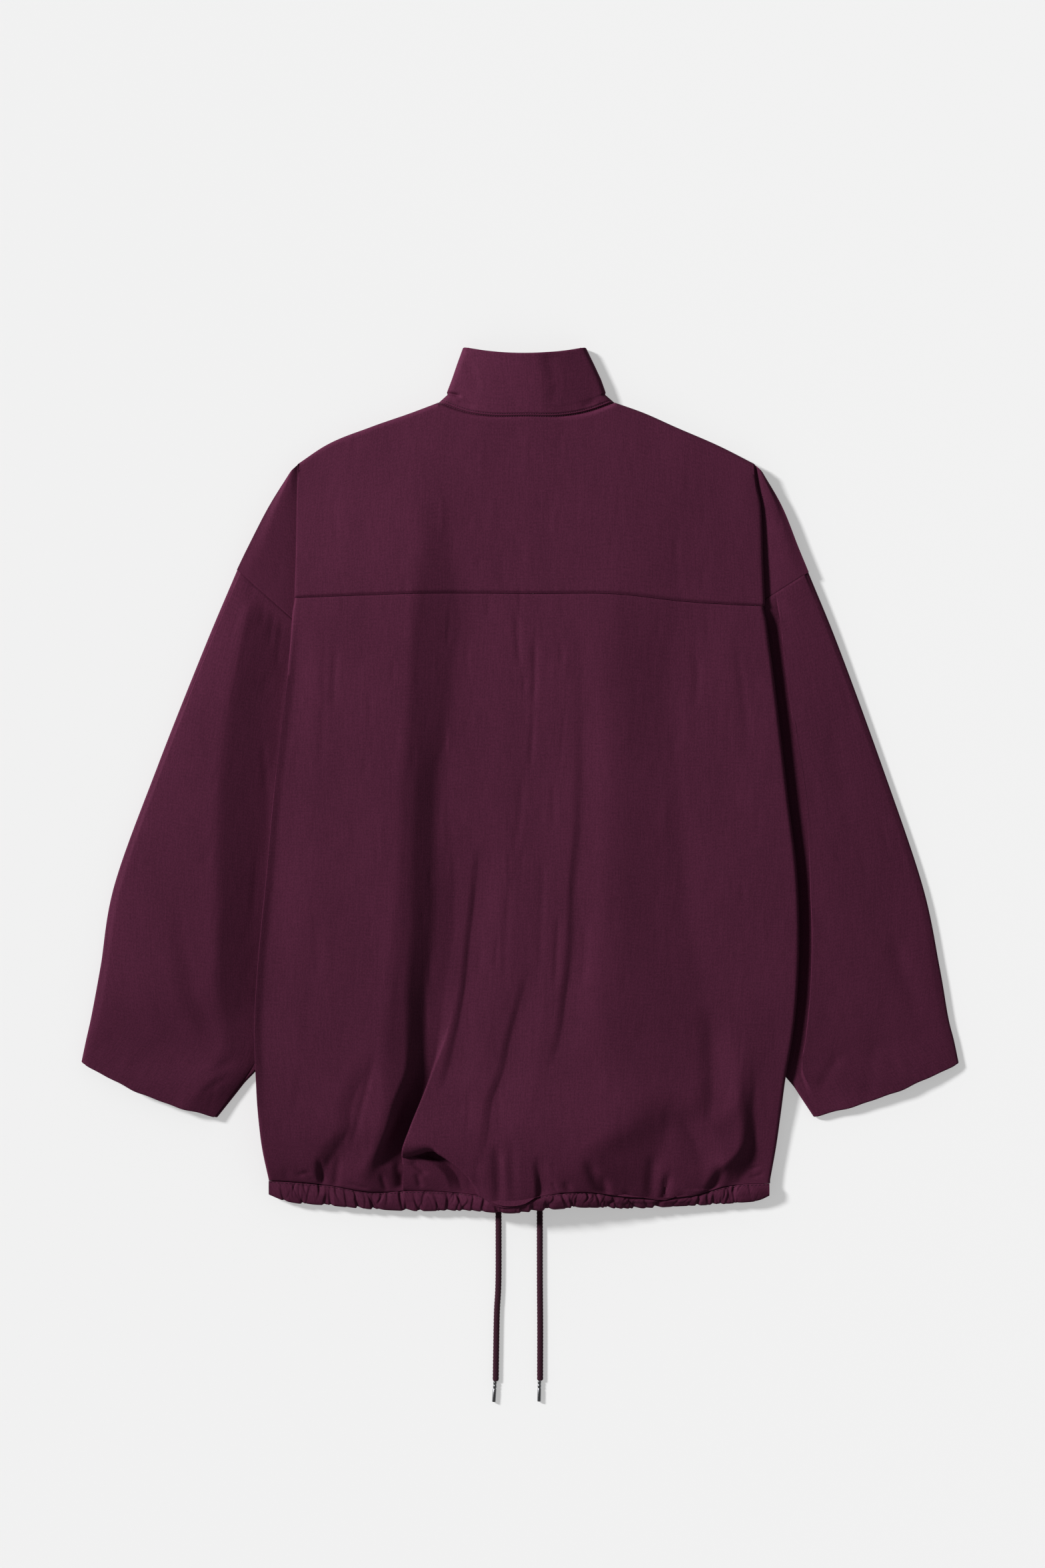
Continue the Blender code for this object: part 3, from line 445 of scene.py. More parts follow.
def makeCord(name, rows):
    line, at = cordPath(rows)
    turns = np.linspace(0, 2 * math.pi, cord["sides"], endpoint=False)
    ends = quarter((at - at[0]) / cord["endRound"]) * quarter((at[-1] - at) / cord["endRound"])
    points, strand = [], []
    for (x, y), s, size in zip(line, at, cord["endSize"] + (1 - cord["endSize"]) * ends):
        phase = 2 * math.pi * s / cord["pitch"]
        around = cord["strands"] * turns
        over = np.abs(np.sin(around + phase)) * np.abs(np.sin(around - phase))  # crossing strands
        relief = cord["strand"] * (over - cord["strandLevel"])
        ringX = x + (cord["width"] / 2 * size + relief) * np.cos(turns)
        ringZ = cord["thick"] / 2 + (cord["thick"] / 2 * size + relief) * np.sin(turns)
        points.append(np.stack([ringX, np.full(len(turns), y), ringZ], -1))
        strand.append(over)
    grid = np.array(points)
    grid[..., 2] = np.maximum(grid[..., 2], cord["lowest"])
    rings, sides = grid.shape[:2]
    around = np.repeat(turns[None] * cord["width"] / cord["girth"] * mm, rings, 0)
    marks = np.stack([around, np.repeat(at[:, None] * mm, sides, 1)], -1).reshape(-1, 2)
    mesh = solidMesh(name, grid.reshape(-1, 3), tubeFaces(rings, sides), marks)
    # how far each point stands over the gaps, which the cord's material turns into painted shade
    layer = mesh.attributes.new("strand", "FLOAT", "POINT")
    layer.data.foreach_set("value", np.array(strand, np.float32).ravel())
    path = line[::cord["pathStep"]].tolist() + [line[-1].tolist()]
    return mesh, [(x * mm, y * mm, cord["thick"] / 2 * mm) for x, y in path]


def makeTip(name, rows, lean):  # rolled metal tube, open at its far end and crimped twice on the cord
    radius = tip["across"] / 2
    start = np.array(rows[-1]) - tip["over"]
    ahead = unit(np.array([lean, -1.0]))
    aside = np.array([-ahead[1], ahead[0]])
    turns = np.linspace(0, 2 * math.pi, tip["sides"], endpoint=False)
    points, marks = [], []
    for at, inset in tip["near"] + [(tip["long"] - short, inset) for short, inset in tip["far"]]:
        plan = start + ahead * at
        sideways = (radius - inset) * np.cos(turns)
        points.append(np.stack([plan[0] + aside[0] * sideways, plan[1] + aside[1] * sideways,
                                radius + (radius - inset) * np.sin(turns)], -1))
        marks.append(np.stack([turns * radius * mm, np.full(len(turns), at * mm)], -1))
    return solidMesh(name, np.concatenate(points), tubeFaces(len(points), len(turns)), np.concatenate(marks))


for side in ("left", "right"):
    tipMesh = makeTip(f"cordTip_{side}", cord[side], tip["lean"][side])
    tipPiece = place(f"cordTip_{side}", tipMesh, tipMaterial, [f"cord_tip_{side}"])
    cordMesh, cordLine = makeCord(f"drawcordEnd_{side}", cord[side])
    cordPiece = place(f"drawcordEnd_{side}", cordMesh, cordMaterial, [f"drawcord_{side}"])


# the body's form, shared by the back and the yoke
body = {
    "frontTop": 4.3, "rimTop": 8.3, "seamGap": 0.15, "yokeGap": 0.4, "cornerGap": 0.25, "hemRoll": 24.0,
    "thinnest": 3.6, "creaseFade": 6.0,
    "sides": [  # y, left, right, under, roll left, roll right
        (-373, -234.0, 232.8, 4.3, 6.0, 7.0), (-342, -240.2, 238.4, 4.3, 3.6, 7.6),
        (-312, -243.6, 242.6, 4.3, 1.6, 8.0), (-278, -245.6, 247.0, 6.2, 1.3, 8.0),
        (-235, -247.0, 254.4, 6.4, 1.3, 8.0), (-174, -244.0, 259.3, 6.4, 1.3, 8.0),
        (-91, -236.0, 258.0, 6.4, 1.3, 8.0), (-19, -229.6, 249.6, 6.4, 1.3, 8.0),
        (105, -215.5, 234.8, 6.6, 1.6, 8.0), (152, -212.0, 228.5, 8.6, 5.0, 8.0),
        (220, -209.4, 225.4, 9.0, 5.0, 8.0), (294, -206.0, 217.0, 9.0, 6.0, 8.0)],
    "yokeSeam": [(-216, 168.6), (-206, 168.9), (-142, 171.2), (-65, 173.0), (12, 172.5), (90, 172.0),
                 (155, 165.2), (217, 161.6), (232, 161.0)],
}
casing = [  # x, seam, bottom, height
    (-236, -373.5, -385.5, 8.6), (-222, -374.0, -391.2, 8.8), (-176, -378.0, -396.6, 9.6),
    (-140, -384.0, -399.8, 9.6), (-100, -382.5, -401.6, 9.2), (-50, -385.0, -401.2, 12.0),
    (-8, -390.5, -402.7, 21.0), (30, -384.5, -399.0, 23.0), (62, -383.0, -397.4, 21.0),
    (100, -387.5, -399.0, 15.5), (150, -388.0, -397.0, 10.8), (206, -376.6, -393.8, 9.2),
    (222, -376.0, -391.8, 9.2), (234, -376.0, -386.5, 9.4)]
form = {
    "round": (20, 25, 25, 5, 4, 4, 2, 1.4, 25, 14, 5, 14, 4, 3, 20),  # how softly each corner turns
    "rows": [  # y, then x and height of each corner across the back
        (-392, ((-262, 9), (-205, 10), (-170, 11.5), (-146, 13.4), (-142, 13.2), (-134, 12.6), (-106.6, 8),
                (-104.8, 17), (-30, 24), (58, 23.6), (123, 12.4), (140, 12), (172, 12.6), (202, 8.6),
                (262, 9))),
        (-376, ((-262, 10.5), (-205, 12.5), (-170, 14), (-146, 15.8), (-142, 15.6), (-134, 14.8),
                (-106.6, 7.9), (-104.8, 19), (-30, 25.6), (58, 26), (123, 14.2), (142, 14.8), (172, 17.2),
                (203, 7.9), (262, 8.5))),
        (-362, ((-262, 12.5), (-205, 16), (-170, 17.5), (-142, 18.8), (-138.5, 17.4), (-131, 14.2),
                (-106.6, 7.9), (-104.8, 21.5), (-40, 26), (60, 28), (124, 15.8), (144, 16.8), (186, 18.6),
                (211, 7.9), (262, 8))),
        (-345, ((-262, 14), (-205, 18.8), (-170, 20.4), (-135, 21.6), (-130.5, 19.4), (-123, 8.8),
                (-108.4, 8), (-106.6, 24.6), (-52, 26), (66, 28.6), (129, 16.4), (150, 17.6), (203.5, 18),
                (215, 8.2), (262, 8))),
        (-325, ((-262, 16), (-205, 20.6), (-170, 23), (-129, 25.6), (-122.5, 23.4), (-114.5, 8.2),
                (-101.8, 8), (-100, 21.6), (-60, 24.8), (92, 27), (134, 17.4), (162, 17.6), (207.5, 16.2),
                (217, 9.2), (262, 8))),
        (-300, ((-262, 18.4), (-205, 21), (-170, 23), (-125, 25.8), (-116, 23.8), (-105, 8.8),
                (-91.3, 8.2), (-89.5, 18), (-50, 20), (104, 24), (142, 19.4), (178, 17), (205, 16.4),
                (217.5, 10.8), (262, 9.4))),
        (-270, ((-262, 19.4), (-205, 21.2), (-165, 23), (-126, 25.4), (-105, 21.8), (-96, 10.4),
                (-80, 9.2), (-78, 14.2), (-16, 16.4), (90, 20.4), (168, 14.2), (182, 13.8), (204, 14.4),
                (224, 11.6), (262, 10.8))),
        (-240, ((-262, 19.6), (-205, 21.2), (-160, 22.8), (-125, 25), (-104, 21), (-92, 11), (-75, 10.2),
                (-67, 12.8), (-10, 14.8), (82, 19), (178, 11.8), (192, 12.2), (207, 12.6), (236, 11.6),
                (262, 11.2))),
        (-200, ((-262, 19.6), (-205, 21.2), (-155, 22.8), (-121, 24.6), (-105, 21.8), (-88, 12.2),
                (-71, 10.8), (-60, 11.4), (10, 14.4), (83, 18.4), (170, 11.6), (192, 12), (212, 12.4),
                (236, 12.2), (262, 12))),
        (-150, ((-262, 19.6), (-205, 21.2), (-152, 22.8), (-117, 24.6), (-102, 22.2), (-82, 13.4),
                (-63, 11.2), (-54, 11.6), (10, 14.4), (86, 18.2), (160, 11.8), (190, 12.4), (205, 12.6),
                (222, 12.6), (262, 12.6))),
        (-100, ((-262, 19.6), (-205, 21.2), (-150, 22.8), (-113, 24.6), (-101, 22.6), (-79, 14),
                (-61, 11.6), (-52, 12), (10, 14.6), (87, 18.2), (152, 12.2), (190, 12.6), (205, 12.8),
                (222, 12.8), (262, 12.8))),
        (-50, ((-262, 19), (-205, 20.6), (-150, 22.4), (-112, 24.4), (-100, 22.2), (-79, 13.8),
               (-65, 12.8), (-54, 12.8), (10, 15), (88, 18.4), (150, 12.4), (190, 12.8), (205, 12.8),
               (222, 12.8), (262, 12.8))),
        (0, ((-262, 18.4), (-205, 20.2), (-150, 22), (-110, 24), (-98, 21.6), (-77, 13.6), (-68, 12.8),
             (-58, 13), (10, 15.2), (87, 18.6), (148, 12.6), (190, 12.8), (205, 12.8), (222, 12.8),
             (262, 12.8))),
        (50, ((-262, 17.6), (-202, 19.6), (-150, 21.4), (-105, 23.4), (-97, 21.6), (-69, 14.2),
              (-61, 13.6), (-50, 13.6), (10, 15.6), (87, 18.8), (140, 12.8), (190, 13), (205, 13),
              (222, 13), (262, 13))),
        (100, ((-262, 16), (-206, 18.4), (-150, 20.4), (-102, 22.6), (-96, 21.4), (-62, 14.4), (-52, 14),
               (-40, 14.2), (10, 16), (85, 18.8), (137, 13), (190, 13.2), (204, 13.2), (222, 13),
               (262, 12.4))),
        (172, ((-262, 13), (-206, 16.6), (-150, 19.6), (-98, 22.2), (-92, 21.2), (-58, 15.2), (-46, 14.8),
               (-34, 15.2), (10, 17), (86, 19.6), (146, 15), (190, 13.8), (204, 13.6), (222, 13.2),
               (262, 12))),
        (225, ((-262, 8.8), (-206, 12), (-150, 16.6), (-92, 19.8), (-84, 19.2), (-66, 17), (-52, 16.8),
               (-36, 17), (10, 18), (88, 19.2), (148, 16.6), (190, 15), (204, 14.4), (222, 13.4), (262, 11))),
        (275, ((-262, 8.5), (-206, 10), (-150, 14), (-98, 17.5), (-86, 17.8), (-62, 18.3), (-48, 18.5),
               (-36, 18.7), (10, 19), (90, 19), (150, 17), (190, 15), (204, 14.2), (222, 13), (262, 10))),
        (352, ((-262, 8.5), (-206, 9), (-150, 11.5), (-98, 15), (-86, 16), (-62, 17.6), (-48, 18.4),
               (-36, 18.8), (10, 19.2), (90, 17), (150, 13), (190, 11), (204, 10.2), (222, 9.5), (262, 9)))]}
folds = {  # narrower creases: y, x of the valley, depth, left width, right width
    "diagonal": [(-362, -36, 0, 10, 24), (-345, -33, 0.6, 10, 30), (-325, -29, 1.3, 8, 34),
                 (-300, -26, 2.0, 9, 36), (-270, -15, 1.7, 8, 34), (-240, -9, 1.8, 7, 32),
                 (-200, 2, 1.2, 7, 26), (-170, 10, 0, 7, 20)],
    "centreCrease": [(-270, 28, 0, 7, 24), (-240, 37, 1.2, 7, 28), (-200, 43, 1.8, 7, 32),
                     (-150, 49, 1.8, 7, 32), (-100, 50, 1.8, 6.5, 32), (-50, 55, 1.6, 7, 30),
                     (0, 57, 1.3, 7, 28), (50, 57, 0.7, 8, 26), (120, 55, 0.3, 9, 20), (172, 46, 0, 9, 20)],
    "innerCrease": [(-292, -72, 0, 6, 22), (-270, -65, 1.4, 6, 28), (-240, -58, 1.6, 6, 32),
                    (-200, -52, 1.8, 6, 36), (-150, -47, 1.6, 6, 34), (-100, -41, 1.4, 6, 30),
                    (-62, -38, 0, 6, 20)],
    "lowerLeft": [(-380, -184, 2.6, 9, 36), (-362, -182, 4.2, 9, 46), (-345, -171, 3.8, 17, 50),
                  (-325, -159, 2.4, 14, 52), (-300, -156, 2.0, 15, 44), (-270, -142, 1.2, 17, 28),
                  (-250, -134, 0, 14, 16)],
    "softRight": [(-322, 172, 0, 14, 16), (-300, 178, 2.0, 16, 26), (-270, 178, 2.0, 14, 28),
                  (-240, 177, 1.4, 14, 26), (-212, 174, 0, 14, 18)],
    "lowRight": [(-378, 168, 1.6, 20, 16), (-362, 168, 2.2, 24, 22), (-345, 165, 2.6, 20, 30),
                 (-325, 156, 1.8, 14, 26), (-306, 150, 0, 12, 14)],
    "bulgeEdge": [(-396, 17, 4.6, 5, 18), (-382, 18.5, 4.6, 5.4, 18), (-370, 18, 3.0, 6, 16),
                  (-358, 16, 1.4, 6, 14), (-348, 16, 0, 5, 12)],
    "leftEdge": [(-318, -236.6, 0, 6, 20), (-270, -239.4, 1.4, 6, 34), (-235, -240.6, 1.8, 6, 40),
                 (-174, -237.6, 1.9, 6, 40), (-91, -229.6, 1.7, 6, 40), (-19, -223.2, 1.4, 6, 40),
                 (40, -216.4, 1.2, 6, 34), (105, -209.4, 1.2, 6, 26), (150, -206, 0, 6, 20)],
}
# the bulge's left wall stands upright over the deep fold
overhang = {"amount": [(-392, 3.6), (-376, 5.0), (-362, 5.0), (-345, 4.0), (-300, 4.4), (-262, 3.6),
                       (-225, 1.6), (-195, 0), (180, 0)],
            "before": 2.8, "after": 14.0, "corner": 7, "past": 1.2}
pocket = {  # the central bulge ends in a rim over a lower pocket: its line, and the height below it
    "rim": [(-126, -351), (-118, -351), (-110, -350.6), (-100, -349.6), (-92, -347.6), (-85, -345.6),
            (-79, -345.6), (-73, -348), (-67, -351.8), (-59, -358), (-51, -365.4), (-46, -371),
            (-41.5, -379), (-37, -389.5), (-33, -401)],
    "height": [(-140, 30), (-125, 30), (-121, 12.4), (-106.3, 7.9), (-104.9, 14.0), (-96, 14.0),
               (-80, 13.6), (-66, 13.2), (-10, 13.0)],
    "edge": [(-402, -59), (-380, -66), (-367, -71), (-361, -76), (-357, -81), (-354, -88), (-350, -96)],
    "roundIn": [(-126, 14), (-104, 14), (-94, 11), (-86, 8), (-78, 5), (-70, 3.2), (-62, 2.6), (-30, 2.6)],
    "roundOut": 0.7, "from": -124.0, "fall": 6.4, "fallWide": 13.0, "fallTurn": 0.1, "lean": 2.2,
    "leanIn": 9.0, "leanOut": 1.6, "leanAt": -1.0, "leanFrom": (-82, -74), "leanTo": (-45, -36),
    "leanUp": (-388, -376),
}
puckers = [  # start, end, depth, width
    (-22, -334, -19, -392, 1.7, 5.0), (-8, -326, -6, -390, 0.7, 5.0), (41, -370, 49, -388, 1.6, 2.4),
    (60, -350, 83, -394, 2.4, 5.0), (76, -364, 84, -396, 2.2, 3.0), (98, -376, 105, -400, 1.3, 2.6),
    (124, -346, 121, -392, 1.4, 5.0), (139, -362, 130, -402, 2.6, 3.0), (150, -376, 153, -396, 0.8, 2.4),
    (190, -356, 171, -394, 3.0, 5.4), (-110, -362, -109, -392, 1.6, 3.0), (228, -366, 213, -371, 0.6, 1.6),
    (226, -359, 211, -363, 0.5, 1.6), (29, -372, 36, -386, 0.8, 2.0), (92, -381, 97, -398, 1.0, 1.8),
    (-208, -367, -195, -364, 0.9, 1.8), (-201, -361, -189, -373, 0.8, 1.8),
    (-187, -348, -183, -386, 2.2, 2.4), (-167, -346, -174, -388, 1.6, 2.6),
    (-162, -373, -139, -380, 0.7, 1.8), (-160, -379, -135, -386, 0.7, 1.6),
    (-99, -353, -85, -369, 1.3, 2.2), (-93, -364, -90, -386, 1.2, 2.0), (-114, -350, -112, -390, 1.4, 4.0),
    (-130, -364, -122, -390, 1.0, 2.6), (-219, -358, -214, -380, 0.6, 2.4),
    (-133, -250, -159, -352, 0.7, 3.2), (62, -168, 58, -192, 0.3, 2.8), (14, 140, 13, 60, 0.7, 3.0),
    (13, 70, 9, 0, 0.5, 3.0), (-4, 160, 0, 100, 0.6, 3.0), (4, 10, -4, -70, 0.4, 3.6),
    (22, -60, 18, -190, 0.4, 3.6), (-10, -80, -16, -200, 0.4, 3.6), (36, -120, 32, -200, 0.6, 2.8),
    (62, -130, 58, -190, 0.5, 2.8), (200, 140, 214, 20, 0.4, 4.0), (-180, 140, -186, -20, 0.4, 3.4),
    (-171, 130, -174, 60, 0.7, 2.8), (-190, -120, -186, -190, 0.4, 3.4), (166, 120, 163, 60, 0.6, 3.2)]
fineCreases = crinkles(seed=11, count=620, box=(-240, -380, 250, 330), lean=1.0, depth=0.13)


def ramp(distance, width):  # 0, then a rising line, with a rounded turn
    return np.where(np.abs(distance) < width, (distance + width) ** 2 / (4 * width), np.maximum(distance, 0))


def pleatShape(u, turn, curve=1.5):  # from 1 in the valley, steep, down to 0 at its width
    return ramp(1 - u, turn) ** curve


def formHeight(x, y):  # even slopes between the corners
    rows = form["rows"]
    knots = column(rows, 0)
    at = [through(knots, [row[1][i][0] for row in rows], y) for i in range(len(form["round"]))]
    high = [through(knots, [row[1][i][1] for row in rows], y) for i in range(len(form["round"]))]
    slopes = [(high[i + 1] - high[i]) / (at[i + 1] - at[i]) for i in range(len(at) - 1)]
    total = high[0] + slopes[0] * (x - at[0])
    for i in range(1, len(slopes)):
        total = total + (slopes[i] - slopes[i - 1]) * ramp(x - at[i], form["round"][i])
    return total


def foldDepth(x, y, turn=0.12):  # each fold is steep on its left and rises easily on its right
    total = np.zeros(np.broadcast(x, y).shape)
    for rows in folds.values():
        knots = column(rows, 0)
        off = x - read(rows, y, 1)
        u = np.where(off < 0, -off / read(rows, y, 3), off / read(rows, y, 4))
        deep = np.where((y >= knots[0]) & (y <= knots[-1]), np.maximum(read(rows, y, 2), 0), 0)
        total += deep * np.where(off < 0, pleatShape(u, turn), 1 - ease(0, 1, u))
    return total


def leanOver(x, y):  # how far the bulge's left wall is pushed over
    knots = column(form["rows"], 0)
    off = x - through(knots, [row[1][overhang["corner"]][0] for row in form["rows"]], y) - overhang["past"]
    near = np.where(off < 0, off / overhang["before"], off / overhang["after"])
    return np.maximum(read(overhang["amount"], y), 0) * np.exp(-near ** 2)


def pastRim(x, y):  # distance beyond the pocket's rim, and the way across it
    fall = read(pocket["rim"], x + 0.5) - read(pocket["rim"], x - 0.5)
    size = np.sqrt(1 + fall ** 2)
    return (read(pocket["rim"], x) - y) / size, fall / size, -1 / size


def pocketFall(x, y, crown):  # from the bulge over its rim into the pocket
    off = pastRim(x, y)[0]
    roundIn = readStraight(pocket["roundIn"], x)
    part = np.clip((off + roundIn) / (roundIn + pocket["roundOut"]), 0, 1)
    near = (x > pocket["from"]) & (x < pocket["rim"][-1][0])
    fallen = ramp((x - read(pocket["edge"], y)) / pocket["fallWide"], pocket["fallTurn"])
    floor = readStraight(pocket["height"], x) - pocket["fall"] * np.clip(fallen, 0, 1)
    floor = np.minimum(np.maximum(floor, body["frontTop"] + body["thinnest"]), crown)
    return np.where(near, (crown - floor) * (1 - np.sqrt(1 - part ** 2)), 0)


def rimLean(x, y):  # the rim's slanting side stands upright over the pocket
    off, acrossX, acrossY = pastRim(x, y)
    off = off - pocket["leanAt"]
    near = np.where(off < 0, off / pocket["leanIn"], off / pocket["leanOut"])
    amount = pocket["lean"] * np.exp(-near ** 2) * ease(*pocket["leanUp"], y)
    amount = amount * ease(*pocket["leanFrom"], x) * (1 - ease(*pocket["leanTo"], x))
    return amount * acrossX, amount * acrossY


def bodyHeight(x, y):  # the form with its folds, pocket and creases, down to the casing
    crown = np.maximum(formHeight(x, y) - foldDepth(x, y), body["frontTop"] + body["thinnest"])
    crown = crown - pocketFall(x, y, crown)
    low = read(casing, x, 3)
    above = y - read(casing, x, 1)
    detail = strokes(x, y, puckers) + strokes(x, y, fineCreases)
    detail = detail * ease(0, body["creaseFade"], above)
    return low + (crown - low) * quarter(above / body["hemRoll"]) - detail


# stand collar, folded flat over the placket
plackets = {"centre": -1.0, "width": 26.0}
collar = {
    "edge": 10.0, "backHeight": 19.5, "topHeight": 18.5, "crestAt": 0.6, "leftFall": 2.4, "rightFall": 1.25,
    "frontDrop": 56.0, "topFrontDrop": 26.0, "frontGap": 0.4, "topSag": 6.5, "wall": 3.0, "stand": 54.0,
    "grooveFade": 9.0, "seamFade": 0.06, "backColumns": 84, "frontColumns": 16, "turnColumns": 8,
    "capRows": 5, "rows": [(0, 0), (0.07, 14), (0.2, 29), (0.975, 72)],  # share of the height, count
    "seam": [(-76, 350.6), (-62.3, 345.0), (-48, 340.1), (-30.7, 337.3), (6, 336.8), (41.9, 337.3),
             (66, 342.2), (79.7, 347.2), (88, 350.6)],
    "ends": [  # share of the height, left, right, y
        (0, -76, 88, 350.6), (0.135, -67.6, 79.2, 358.2), (0.17, -68.2, 79.7, 360.3),
        (0.41, -63.6, 75.4, 372.4), (0.7, -58.6, 68.6, 387), (1, -53, 61.1, 402.4)],
    "grooves": [(0.2, 1.3, 0.8), (2.3, 0.55, 0.55)],  # seam and stitches: height, depth, width
    "creases": [(-72, 360.8, -54, 355.8, 2.8, 1.5), (-60, 352, -40, 345, 0.6, 3.0),
                (72, 352, 56, 346, 0.6, 3.0), (-48, 396, -40, 352, 0.4, 5.0), (24, 398, 34, 366, 0.7, 6.0),
                (34, 372, 30, 346, 0.4, 5.0)],
}
neckLeft, neckRight = collar["seam"][0][0], collar["seam"][-1][0]


def collarHeight(x, left, right, crest):  # highest right of the middle, then an even slope to the right
    half = collar["edge"] / 2
    top = collar["crestAt"] * (right - left) + left
    toEnd = np.minimum(x - left, right - x)
    low = half * (1 + quarter(toEnd / half))
    rise = np.where(x < top, 1 - np.clip((top - x) / (top - left), 0, 1) ** collar["leftFall"],
                    1 - np.clip((x - top) / (right - top), 0, 1) ** collar["rightFall"])
    return low + (crest - collar["edge"]) * rise


def neckStations(left, right):  # close together in the roll at each end
    half = collar["edge"] / 2
    turns = half * (1 - np.cos(np.linspace(0, math.pi / 2, collar["turnColumns"])[1:]))
    middle = np.linspace(left + half, right - half, collar["backColumns"])[1:-1]
    return np.concatenate([left + turns, middle, (right - turns)[::-1]])


def collarBack(part, left, right, yEnd):
    x = neckStations(left, right)
    fromMiddle = (x - (left + right) / 2) / ((right - left) / 2)
    base = collar["ends"][0][3] - read(collar["seam"], neckStations(neckLeft, neckRight))
    y = yEnd - (1 - part) * base - part * collar["topSag"] * (1 - fromMiddle ** 2)
    crest = collar["backHeight"] + part * (collar["topHeight"] - collar["backHeight"])
    z = collarHeight(x, left, right, crest)
    z = z - strokes(x, y, collar["creases"]) * ease(0, collar["seamFade"], part)
    fade = quarter(np.minimum(x - left, right - x) / collar["grooveFade"])
    for at, deep, wide in collar["grooves"]:
        z -= deep * np.exp(-((part * collar["stand"] - at) / wide) ** 2) * fade
    return np.stack([x, y, z], -1)


def collarFront(part, left, right, yEnd, sign):  # from the placket out to the collar's end, and up its roll
    half = collar["edge"] / 2
    end = right if sign > 0 else left
    drop = collar["frontDrop"] + part * (collar["topFrontDrop"] - collar["frontDrop"])
    start = plackets["centre"] + sign * (plackets["width"] / 2 + collar["frontGap"])
    flatX = np.linspace(start, end - sign * half, collar["frontColumns"])
    flatY = yEnd - drop * (1 - ((flatX - (left + right) / 2) / ((right - left) / 2 - half)) ** 2)
    turns = np.linspace(-math.pi / 2, 0, collar["turnColumns"])[1:]
    turnX = end - sign * half * (1 - np.cos(turns))
    flat = np.stack([flatX, flatY, np.zeros(len(flatX))], -1)
    turn = np.stack([turnX, np.full(len(turns), yEnd), half + half * np.sin(turns)], -1)
    return np.concatenate([flat, turn])


def collarRow(part):
    left, right, yEnd = (float(readStraight(collar["ends"], part, i)) for i in (1, 2, 3))
    leftFront, rightFront = (collarFront(part, left, right, yEnd, sign) for sign in (-1, 1))
    return np.concatenate([leftFront, collarBack(part, left, right, yEnd), rightFront[::-1]])


collarGrid = np.array([collarRow(part) for part in stations(collar["rows"])])
collarInner = inside(collarGrid, np.full(collarGrid.shape[:2], collar["wall"]))
collarInner[0] = collarGrid[0] - (collarGrid[1] - collarInner[1]) * (1, 0, 1)
collarCap = roundCap(collarGrid[-1], collarGrid[-2], collarInner[-1], collar["capRows"])
collarPiece = place("standCollar", wallMesh("standCollar", collarGrid, collarInner, caps=(None, collarCap)),
                    clothMaterial, ["collar"])


# back yoke, with a dropped shoulder folded down at each side
yoke = {
    "shoulderRoll": 5.0, "dropRoll": 14.0, "dropHigh": 9.6, "dropLow": 7.4, "dropLift": 3.0,
    "dropLong": 130.0, "dropCrowd": 1.15, "wall": 3.0, "shoulderColumns": 56, "dropColumns": 26,
    "wallColumns": 10, "neckStep": 1.1, "dip": {"left": 0.7, "right": 0.35}, "seamDip": 1.05,
    "seamDipWide": 0.01, "liftCurve": 1.5, "liftIn": 0.3, "dipIn": 0.2, "foldPlan": 0.7, "foldFoot": 0.3,
    "foldIn": 0.15, "foldGrows": (0.04, 0.3), "rows": [(0, 0), (0.2, 25), (0.97, 80), (1, 87)],
    "leftShoulder": [(-206, 294), (-183.2, 309.4), (-138.6, 328), (-101.4, 341), (-76, 350.6)],
    "rightShoulder": [(88, 350.6), (115, 341), (144.2, 328), (186.9, 309.4), (217, 294)],
    "leftDrop": [(-214, 286), (-234.1, 253.6), (-253.3, 216.4), (-263.63, 195.05)],
    "rightDrop": [(225.5, 286), (244, 253.6), (258.9, 216.4), (268.6, 192.84)],
    "leftFoot": [(-207.5, 292), (-207.8, 250), (-208.6, 195), (-209.74, 146.79)],
    "rightFoot": [(218.8, 292), (224.4, 250), (226.0, 205), (227.77, 166.83)],
    "creases": crinkles(seed=5, count=70, box=(-260, 160, 270, 330), lean=0.0, length=(12, 40)),
}


def dropHeight(share, away):  # height of the dropped cloth, by its share across and distance from the edge
    top = yoke["dropHigh"] + (yoke["dropLow"] - yoke["dropHigh"]) * share ** 2
    rise = np.sin(math.pi / 2 * np.clip(away / yoke["dropRoll"], 0, 1))
    return body["rimTop"] + (top - body["rimTop"]) * rise


def dropRows(side, parts):  # the dropped shoulder, from its outer edge to the fold beside the body
    start, end = trace(yoke[f"{side}Drop"], parts), trace(yoke[f"{side}Foot"], parts)
    shares = np.linspace(0, 1, yoke["dropColumns"]) ** yoke["dropCrowd"]
    plan = start[:, None] + shares[None, :, None] * (end - start)[:, None]
    rest = 1 - parts[:, None]
    z = dropHeight(shares, shares * np.linalg.norm(end - start, axis=-1)[:, None])
    z = z + yoke["dropLift"] * rest ** yoke["liftCurve"] * ease(0, yoke["liftIn"], shares)
    z = z - yoke["dip"][side] * np.exp(-(rest * yoke["dropLong"]) ** 2) * ease(0, yoke["dipIn"], shares)
    z = z - strokes(plan[..., 0], plan[..., 1], yoke["creases"])
    return np.concatenate([plan, z[..., None]], -1)


